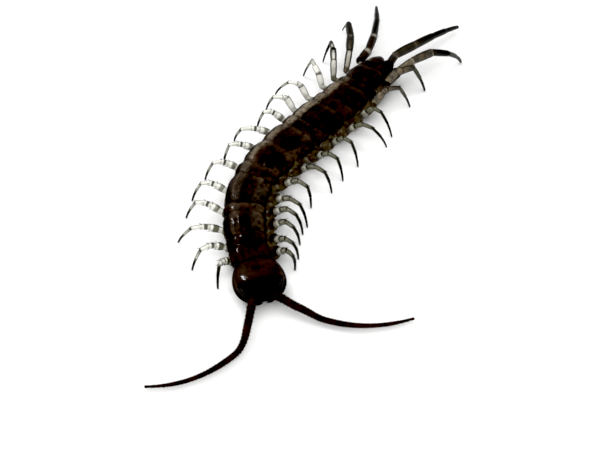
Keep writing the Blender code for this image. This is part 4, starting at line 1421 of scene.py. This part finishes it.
def makeSkin():
    bm = bmesh.new()
    boundaries = [segmentStart(index) for index in range(1, len(segments) + 1)]
    rings = []
    length = skin["end"] - skin["start"]
    count = round(length / skin["ringStep"])
    for step in range(count + 1):
        s = skin["start"] + length * step / count
        pinch = sum(bump(s, boundary, skin["pinch"]["long"]) for boundary in boundaries)
        halfWidth = bodyHalfWidth(s) * (1.0 - skin["pinch"]["share"] * pinch)
        top = bodyTop(s) - skin["pinch"]["drop"] * pinch
        section = list(skin["section"]) + [(-out, rise) for out, rise in reversed(skin["section"][1:])]
        ring = []
        for out, rise in section:
            ring.append(bodyPoint(s, out * halfWidth, trunk["belly"] + rise * (top - trunk["belly"])))
        rings.append(ring)
    sweepRings(bm, rings)
    for side in sides:
        for index in range(len(segments)):
            joints = legJoints(side, index)
            _, _, left = spineAt(stations[index])
            inward = left * -sides[side]
            end = joints["coxa"].lerp(joints["prefemur"], skin["coxaReach"][side])
            inside, outside = (joints["root"] - up * drop for drop in skin["coxaDrops"])
            line = smoothed([inside + inward * skin["coxaInset"], outside, end], 4)
            shares = [step / (len(line) - 1) for step in range(len(line))]
            spreads = [eased(share, skin["coxaSpreads"][side]) for share in shares]
            thin = skin["thinner"] if index + 1 >= skin["thinnerFrom"][side] else 1.0
            radii = [eased(share, skin["coxaRadii"]) * thin for share in shares]
            radii = [radius * min(1.0, spread) for radius, spread in zip(radii, spreads)]
            sweepRings(bm, tubeRings(line, radii, spreads, 16))
    bmesh.ops.recalc_face_normals(bm, faces=bm.faces[:])
    carrier = placed("skin", meshFrom(bm, "skin"))
    remesh = carrier.modifiers.new("remesh", "REMESH")
    remesh.mode = "VOXEL"
    remesh.voxel_size = skin["voxel"]
    smooth = carrier.modifiers.new("smooth", "SMOOTH")
    smooth.iterations = skin["smoothing"]
    mesh = drawn(carrier)
    folded(mesh)
    addPiece("skin", mesh, "skin", [f"trunk_{number:02d}" for number in range(1, 16)] + ["telson"])


def folded(mesh):
    mesh.calc_loop_triangles()
    normals = [vertex.normal.copy() for vertex in mesh.vertices]
    marks = {"dark": [], "pale": []}
    (depth, scales), (coarseDepth, coarseScale) = skin["folds"], skin["coarseFolds"]
    (middleShadeShare, middleShadeRows), (paleShare, paleRows) = skin["shadeMiddle"], skin["pale"]
    coarse = [(s / 4.0, spineAt(s / 4.0)[0]) for s in range(12, 116)]
    for vertex, normal in zip(mesh.vertices, normals):
        point = vertex.co.copy()
        flat = Vector((point.x, point.y, 0.0))
        guess = min(coarse, key=lambda row: (row[1] - flat).length_squared)[0]
        place, _, left = spineAt(guess)
        out = (point - place).dot(left)
        halfWidth = max(0.3, bodyHalfWidth(guess))
        flank = eased(abs(out) / halfWidth, skin["flanks"])
        fold = depth * noise.noise(Vector([part * scale for part, scale in zip(point, scales)]))
        coarseFold = coarseDepth * noise.noise(point * coarseScale)
        vertex.co = (point + normal * flank * (fold + coarseFold)) * mm
        # dark: painted shade under the plates, along the middle and under the right plate edges, where it is
        # partly dark skin. pale: the right coxae, partly painted light.
        top = eased(point.z / bodyTop(guess), skin["shadeUnderPlates"])
        pale = eased(-out - bodyHalfWidth(guess), paleRows)
        right = eased(-out / halfWidth, skin["darkAndShadeRight"]) * (1.0 - pale)
        marks["dark"].append(max(top, right, middleShadeShare * eased(abs(out), middleShadeRows)))
        marks["pale"].append(paleShare * pale)
    for mark, values in marks.items():
        layer = mesh.attributes.new(mark, "FLOAT", "POINT")
        layer.data.foreach_set("value", values)


makeSkin()
print("skin made")

# The head: outline, dome, rim, sutures.
head = {
    "length": 3.35,
    "halfWidth": 1.83,
    "rearHalfWidth": 1.28,
    "widestAt": 1.65,
    "base": 0.98,
    "edge": 1.42,
    "top": 2.04,
    "topAt": 1.5,
    "rearTop": 1.88,
    "frontRounding": 2.3,
    "rearRounding": 2.2,
    "section": ((0.0, 1.0), (0.40, 0.95), (0.72, 0.77), (0.93, 0.48), (1.0, 0.26)),
    "centre": 1.70,
    "archPower": 2.1,
    "around": 128,
    "rings": 40,
    "ringSpan": (0.04, 0.955),
    "skin": 0.02,
    "rim": (0.030, 0.03, 0.05),
    "rimGroove": (-0.026, 0.14, 0.05),
    "suture": (-0.022, 1.02, 0.035),
    "sutureBow": 0.16,
    "sutureOut": ((1.2, 1.0), (1.4, 0.0)),
    "frontGroove": (-0.030, 0.0, 0.05),
    "frontLength": ((0.2, 1.0), (0.85, 0.0)),
    "rearGroove": (-0.016, 0.0, 0.10),
    "rearLength": ((2.3, 0.0), (3.0, 1.0)),
    "rearLine": (-0.020, 3.12, 0.05),
    "unevenness": 0.016,
    "under": ((1.0, 0.03), (1.003, 0.06), (0.992, 0.10), (0.965, 0.12), (0.945, 0.15), (0.93, 0.22),
              (0.90, 0.32)),
    "floor": (0.86, 0.74, 0.55, 0.30, 0.06),
}


def headHalfWidth(back):
    back = min(head["length"], max(0.0, back))
    if back < head["widestAt"]:
        share = 1.0 - back / head["widestAt"]
        return head["halfWidth"] * math.sqrt(max(0.0, 1.0 - share ** head["frontRounding"]))
    share = (back - head["widestAt"]) / (head["length"] - head["widestAt"])
    narrower = head["halfWidth"] - head["rearHalfWidth"]
    return head["halfWidth"] - narrower * share ** head["rearRounding"]


def headTop(back):
    return eased(back, ((0.0, head["edge"]), (head["topAt"], head["top"]), (head["length"], head["rearTop"])))


def headOutline():
    reaches = []
    for step in range(head["around"]):
        turn = math.tau * step / head["around"]
        low, high = 0.0, 3.0
        for _ in range(30):
            middle = (low + high) / 2.0
            back = head["centre"] - math.cos(turn) * middle
            out = math.sin(turn) * middle
            inside = 0.0 <= back <= head["length"] and abs(out) <= headHalfWidth(back)
            low, high = (middle, high) if inside else (low, middle)
        reaches.append(low)
    for _ in range(3):
        count = len(reaches)
        reaches = [(reaches[i - 1] + 2.0 * reaches[i] + reaches[(i + 1) % count]) / 4.0 for i in range(count)]
    return reaches


def dome(back, out):
    share = min(1.0, abs(out) / max(0.05, headHalfWidth(back)))
    low = head["section"][-1][1]
    arch = low + (1.0 - low) * math.sqrt(max(0.0, 1.0 - share ** head["archPower"]))
    return head["base"] + (headTop(back) - head["base"]) * arch


def makeHead():
    reaches = headOutline()
    count = head["around"]
    rows = []
    marks = {"side": [], "rear": [], "olive": []}
    points = []

    def add(share, step, height=None):
        onDome = height is None
        turn = math.tau * step / count
        reach = reaches[step] * share
        back = head["centre"] - math.cos(turn) * reach
        out = math.sin(turn) * reach
        if onDome:
            near = (1.0 - share) * reaches[step]
            height = dome(back, out) - head["skin"]
            height += ridge(near, head["rim"]) + ridge(near, head["rimGroove"])
            height += ridge(back, head["rearLine"])
            bowed = back - head["sutureBow"] * (out / 1.3) ** 2
            height += ridge(bowed, head["suture"]) * eased(abs(out), head["sutureOut"])
            height += ridge(out, head["frontGroove"]) * eased(back, head["frontLength"])
            height += ridge(out, head["rearGroove"]) * eased(back, head["rearLength"])
            spot = Vector((out * 1.3, back * 1.3, 4.0))
            height += head["unevenness"] * noise.fractal(spot, 1.0, 2.0, 3)
        points.append(headPoint(back, out, height))
        marks["side"].append((1.0 - min(1.0, share)) * reaches[step])
        marks["rear"].append(eased(back, headLook["rearFrom"]) * eased(share, headLook["rearWithin"]))
        marks["olive"].append(bump(back, *headLook["oliveBack"]) * bump(abs(out), *headLook["oliveOut"]))

    # Rings over the dome, each nearer to the rim, then under the rim and in over the floor.
    first, span = head["ringSpan"]
    for ring in range(head["rings"] + 1):
        rows.append([len(points) + step for step in range(count)])
        for step in range(count):
            add(first + span * math.sin(ring / head["rings"] * math.pi / 2.0), step)
    edges = [points[index].z for index in rows[-1]]
    floor = head["base"] + head["skin"]
    for share, drop in head["under"]:
        rows.append([len(points) + step for step in range(count)])
        for step in range(count):
            add(share, step, max(floor, edges[step] - drop))
    for share in head["floor"]:
        rows.append([len(points) + step for step in range(count)])
        for step in range(count):
            add(share, step, floor)
    faces = []
    for row, following in zip(rows, rows[1:]):
        for step in range(count):
            nextStep = (step + 1) % count
            faces.append((row[step], row[nextStep], following[nextStep], following[step]))
    faces.append(tuple(rows[0]))
    faces.append(tuple(reversed(rows[-1])))
    mesh = meshOf("head", points, faces, marks)
    faceOut(mesh)
    addPiece("head_shield", mesh, "head", ["head"])


makeHead()
print("head made")

# Ocelli: curved rows of small lenses on each side of the head.
ocelli = {
    "rows": (5, 7, 6, 5, 3),
    "place": (0.98, 1.36),
    "rowStep": 0.06804,
    "rowShift": 0.012,
    "lensStep": 0.115,
    "slant": 0.42,
    "within": 0.985,
    "size": 0.105,
    "largest": 1.25,
    "flatness": 0.75,
    "sunk": 0.012,
}


def headNormal(back, out):
    step = 0.02
    here = headPoint(back, out, dome(back, out))
    there = headPoint(back + step, out, dome(back + step, out))
    beside = headPoint(back, out + step, dome(back, out + step))
    return (there - here).cross(beside - here).normalized()


def makeOcelli():
    front, aside = ocelli["place"]
    middle = (len(ocelli["rows"]) - 1) / 2.0
    for side, sign in sides.items():
        rows = []
        for row, number in enumerate(ocelli["rows"]):
            for step in range(number):
                back = front + (step - (number - 1) / 2.0) * ocelli["lensStep"] - row * ocelli["rowShift"]
                inward = (row - middle) * ocelli["rowStep"]
                out = (aside - inward + (back - front) * ocelli["slant"]) * sign
                out = math.copysign(min(abs(out), headHalfWidth(back) * ocelli["within"]), out)
                normal = headNormal(back, out)
                if normal.z < 0.0:
                    normal.negate()
                size = ocelli["size"] * (ocelli["largest"] if step == number - 1 and row == 1 else 1.0)
                point = headPoint(back, out, dome(back, out) - head["skin"]) - normal * ocelli["sunk"]
                rows.append((point, normal, (size * mm, size * mm, size * ocelli["flatness"] * mm)))
        mesh = plantTree.run(plantsMesh("ocelli", rows), Shape=lens, Material=looks["ocellus"])
        addPiece(f"ocelli_{side}", mesh, "ocellus", [f"eye_{side}"])


makeOcelli()

# The forcipules and their base plate with its row of teeth.
fang = {
    "height": 0.60,
    "path": ((2.15, 1.17, 0.25), (1.75, 1.27, 0.29), (1.25, 1.22, 0.28), (0.80, 0.98, 0.23),
             (0.48, 0.66, 0.17), (0.36, 0.36, 0.11), (0.36, 0.12, 0.035)),
    "breaks": (0.0, 0.42, 0.54, 0.64, 1.0),
    "clawRings": ((0.0, 0.85), (0.2, 1.0), (1.0, 1.0)),
    "darkClaw": ((0.70, 0.0), (0.9, 1.0)),
    "heights": (0.38, 0.88),
    "plate": ((1.42, 0.46), (1.70, 0.62), (2.40, 0.78), (3.10, 0.80)),
    "plateRings": ((0.0, 0.90), (0.12, 1.0), (0.9, 1.0), (1.0, 0.94)),
    "plateKeel": (0.02, 0.0, 0.04),
    "teeth": 6,
    "toothPlace": {"back": 1.44, "backStep": 0.012, "out": 0.06, "outStep": 0.062, "height": 0.50},
    "toothSize": (0.055, 0.055, 0.085),
}


def makeForcipules():
    for side, sign in sides.items():
        line = [headPoint(back, sign * out, fang["height"]) for back, out, _ in fang["path"]]
        line = smoothed(line, 8)
        lines = []
        for start, end in zip(fang["breaks"], fang["breaks"][1:]):
            rows = []
            for step in range(13):
                share = start + (end - start) * step / 12
                radius = eased(share, [(index / 6, row[2]) for index, row in enumerate(fang["path"])])
                radius *= eased(step / 12, podomereRings if end < 1.0 else fang["clawRings"])
                told = {"dark": eased(share, fang["darkClaw"])}
                rows.append((alongLine(line, share), radius, told))
            lines.append(rows)
        mesh = tubeTree.run(linesMesh("forcipule", lines), Sides=20, Material=looks["fang"])
        addPiece(f"forcipule_{side}_skin", mesh, "fang", [f"forcipule_{side}"])


def makeBasePlate():
    low, high = fang["heights"]
    count = 28
    rings = []
    front, rear = fang["plate"][0][0], fang["plate"][-1][0]
    for step in range(19):
        back = front + (rear - front) * step / 18
        wide = eased(back, fang["plate"])
        wide *= eased(step / 18, fang["plateRings"])
        ring = []
        for turn in (math.tau * turnStep / count for turnStep in range(count)):
            out = math.copysign(abs(math.cos(turn)) ** 0.7, math.cos(turn)) * wide * 0.98
            rise = math.sin(turn)
            height = (low + high) / 2.0 + math.copysign(abs(rise) ** 0.8, rise) * (high - low) / 2.0 * 0.96
            height += ridge(out, fang["plateKeel"]) if rise < 0.0 else 0.0
            ring.append(headPoint(back, out, height))
        rings.append(ring)
    bm = bmesh.new()
    sweepRings(bm, rings)
    bmesh.ops.recalc_face_normals(bm, faces=bm.faces[:])
    bmesh.ops.scale(bm, vec=(mm, mm, mm), verts=bm.verts[:])
    addPiece("forcipule_base", meshFrom(bm, "base"), "fang", ["forcipule_plate"])
    _, ahead, left = spineAt(0.0)
    rows = []
    place = fang["toothPlace"]
    size = tuple(part * mm for part in fang["toothSize"])
    for sign in sides.values():
        for step in range(fang["teeth"]):
            back = place["back"] + step * place["backStep"]
            out = sign * (place["out"] + step * place["outStep"])
            rows.append((headPoint(back, out, place["height"]), ahead + left * sign * 0.1 - up * 0.1, size))
    mesh = plantTree.run(plantsMesh("teeth", rows), Shape=thorn, Material=looks["claw"])
    addPiece("forcipule_teeth", mesh, "claw")


makeForcipules()
makeBasePlate()
print("forcipules made")

# Feelers: some forty small joints each, along the frame's routes.
feeler = {
    "root": (0.38, 0.78),
    "ways": {
        "right": (25.0, ((2.0, 4.4, 38.0), (3.0, 10.8, 44.0)), 9.95),
        "left": (47.0, ((0.5, 6.2, 10.0), (2.1, 10.7, 37.0)), 9.7),
    },
    "heights": ((0.0, 1.20), (1.8, 0.88), (3.6, 0.52), (10.2, 0.34)),
    "radii": ((0.0, 0.325), (1.2, 0.290), (4.0, 0.215), (7.5, 0.150), (9.9, 0.090)),
    "joints": 41,
    "pitches": ((0.0, 1.45), (0.10, 1.10), (0.35, 0.92), (0.90, 0.95), (1.0, 1.7)),
    "overlap": 1.16,
    "flare": {"foot": 0.86, "rise": 0.14, "riseTo": 0.62, "lip": 0.11, "lipFrom": 0.78},
    "paleFoot": (0.22, 0.02),
    "paleLip": (0.86, 1.0),
    "hair": {"Density": 110.0, "Length": 0.10 * mm, "Thickness": 0.0045 * mm, "Lean": 1.1, "Seed": 7},
}


def feelerRoute(side):
    sign = sides[side]
    first, bends, length = feeler["ways"][side]
    back, out = feeler["root"]
    point = headPoint(back, sign * out, 0.0)
    _, ahead, left = spineAt(0.0)
    count = round(length / spine["step"])
    route = []
    for step in range(count + 1):
        s = step * length / count
        route.append(point + up * eased(s, feeler["heights"]))
        turn = math.radians(bentHeading(s, first, bends))
        point = point + (ahead * math.cos(turn) + left * sign * math.sin(turn)) * length / count
    return route


# The tree sets one flared joint on each point of the route.
def makeFeelerTree():
    tree = Tree("feelerJoints", {"Material": ("Material", None)})
    line = tree.node("GeometryNodeMeshToCurve", None, {"Mesh": tree.given("Geometry")}, "Curve")
    points = tree.node("GeometryNodeCurveToPoints", {"mode": "EVALUATED"}, {"Curve": line}, "Points")
    inputs = {"Vertices": 14, "Side Segments": 6, "Radius": 1.0, "Depth": 1.0}
    joint = tree.node("GeometryNodeMeshCylinder", None, inputs, "Mesh")
    place = tree.node("GeometryNodeInputPosition", None, None, "Position")
    high = tree.node("ShaderNodeSeparateXYZ", None, {0: place}, "Z") + 0.5
    shape = feeler["flare"]
    flare = shape["foot"] + shape["rise"] * tree.step(high, 0.0, shape["riseTo"])
    flare = flare - shape["lip"] * tree.step(high, shape["lipFrom"], 1.0)
    inputs = {"Geometry": joint, "Position": tree.stretch(place, tree.stack(flare, flare, 1.0))}
    joint = tree.node("GeometryNodeSetPosition", None, inputs, "Geometry")
    pale = tree.step(high, *feeler["paleFoot"]).most(tree.step(high, *feeler["paleLip"]))
    joint = tree.keep(joint, "joint", pale)
    thick = tree.named("thickness")
    size = tree.stack(thick, thick, tree.named("pitch") * feeler["overlap"])
    tree.end(tree.plant(points, joint, tree.named("flow", "FLOAT_VECTOR"), size), tree.given("Material"))
    return tree


def makeFeelers():
    tree = makeFeelerTree()
    for side in sides:
        route = feelerRoute(side)
        # Joints are longer than wide at the root, shorter on, and longest at the tip.
        last = feeler["joints"] - 1
        pitches = [eased(index / last, feeler["pitches"]) for index in range(last + 1)]
        length = feeler["ways"][side][2] - 0.05
        total = sum(pitches)
        at = 0.0
        line = []
        for index, pitch in enumerate(pitches):
            long = pitch / total * length
            s = at + long / 2.0
            at += long
            point = route[min(len(route) - 1, round(s / feeler["ways"][side][2] * (len(route) - 1)))]
            unwrap = (0.05 + 0.9 * s / length, 0.2 if side == "left" else 0.7, 0.0)
            told = {"pitch": long * mm, "hairy": 1.0, "unwrap": unwrap}
            line.append((point, eased(s, feeler["radii"]), told))
        mesh = tree.run(linesMesh("feeler", [line]), Material=looks["feeler"])
        nodes = [f"antenna_{side}_{number}" for number in (1, 2, 3)]
        hairMesh = hairTree.run(mesh.copy(), **feeler["hair"], Material=looks["darkSeta"])
        addPiece(f"feeler_{side}", mesh, "feeler", nodes)
        addPiece(f"setae_feeler_{side}", hairMesh, "darkSeta")


makeFeelers()
print("feelers made")

for shape in (thorn, lens):
    bpy.data.objects.remove(shape, do_unlink=True)

studio = {
    "floor": 600.0,
    "floorColour": (0.93, 0.93, 0.925),
    "sky": {"low": 0.26, "left": 0.08, "rear": 0.24},
    "lamps": {
        "key": {"place": (-64.0, 54.0, 78.0), "size": (3.0, 18.0), "turn": 15.0, "power": 0.015,
                "shine": True},
        "soft": {"place": (-70.0, 50.0, 100.0), "size": (80.0, 80.0), "power": 0.045, "shine": False},
        "over": {"place": (0.0, -10.0, 180.0), "size": (180.0, 180.0), "power": 0.270, "shine": False},
        "front": {"place": (20.0, -90.0, 100.0), "size": (90.0, 90.0), "power": 0.050, "shine": False},
    },
    "black": (0.0205, 0.0190, 0.0188),
}


def makeStage():
    half = studio["floor"] * mm / 2.0
    corners = [(-half, -half, 0.0), (half, -half, 0.0), (half, half, 0.0), (-half, half, 0.0)]
    mesh = bpy.data.meshes.new("floor")
    mesh.from_pydata(corners, [], [(0, 1, 2, 3)])
    floor = placed("floor", mesh)
    look = Look("floorPaper")
    grain = look.clouds(look.here, 1.2, 4.0, 0.6)
    colour = look.mix(grain, studio["floorColour"], tuple(part * 0.99 for part in studio["floorColour"]))
    mesh.materials.append(look.wear(colour, 0.9, ((grain, 0.01),)))
    world = bpy.data.worlds.new("sky")
    bpy.context.scene.world = world
    world.use_nodes = True
    # The sky is brighter to the animal's right and behind the camera.
    sky = Graph(world.node_tree)
    way = sky.node("ShaderNodeTexCoord", None, None, "Generated")
    left = sky.step(sky.shift("DOT_PRODUCT", way, (-1.0, 0.0, 0.0), "Value"), 0.1, 0.9)
    rear = sky.step(sky.shift("DOT_PRODUCT", way, (0.0, -1.0, 0.0), "Value"), 0.0, 0.9)
    light = studio["sky"]["low"] + left * studio["sky"]["left"] + rear * studio["sky"]["rear"]
    background = world.node_tree.nodes["Background"]
    background.inputs["Color"].default_value = (1.0, 1.0, 1.0, 1.0)
    world.node_tree.links.new(light.socket, background.inputs["Strength"])
    for name, row in studio["lamps"].items():
        data = bpy.data.lights.new(name, "AREA")
        data.shape = "RECTANGLE"
        data.size, data.size_y = (part * mm for part in row["size"])
        data.energy = row["power"]
        light = placed(name, data)
        light.location = Vector(row["place"]) * mm
        turned = Quaternion((0.0, 0.0, 1.0), math.radians(row.get("turn", 0.0)))
        light.rotation_euler = ((-light.location).to_track_quat("-Z", "Y") @ turned).to_euler()
        light.visible_glossy = row["shine"]
    view = bpy.context.scene.view_settings
    view.view_transform = "Standard"
    view.use_curve_mapping = True
    view.curve_mapping.black_level = studio["black"]
    view.curve_mapping.update()


makeStage()
print("stage made")
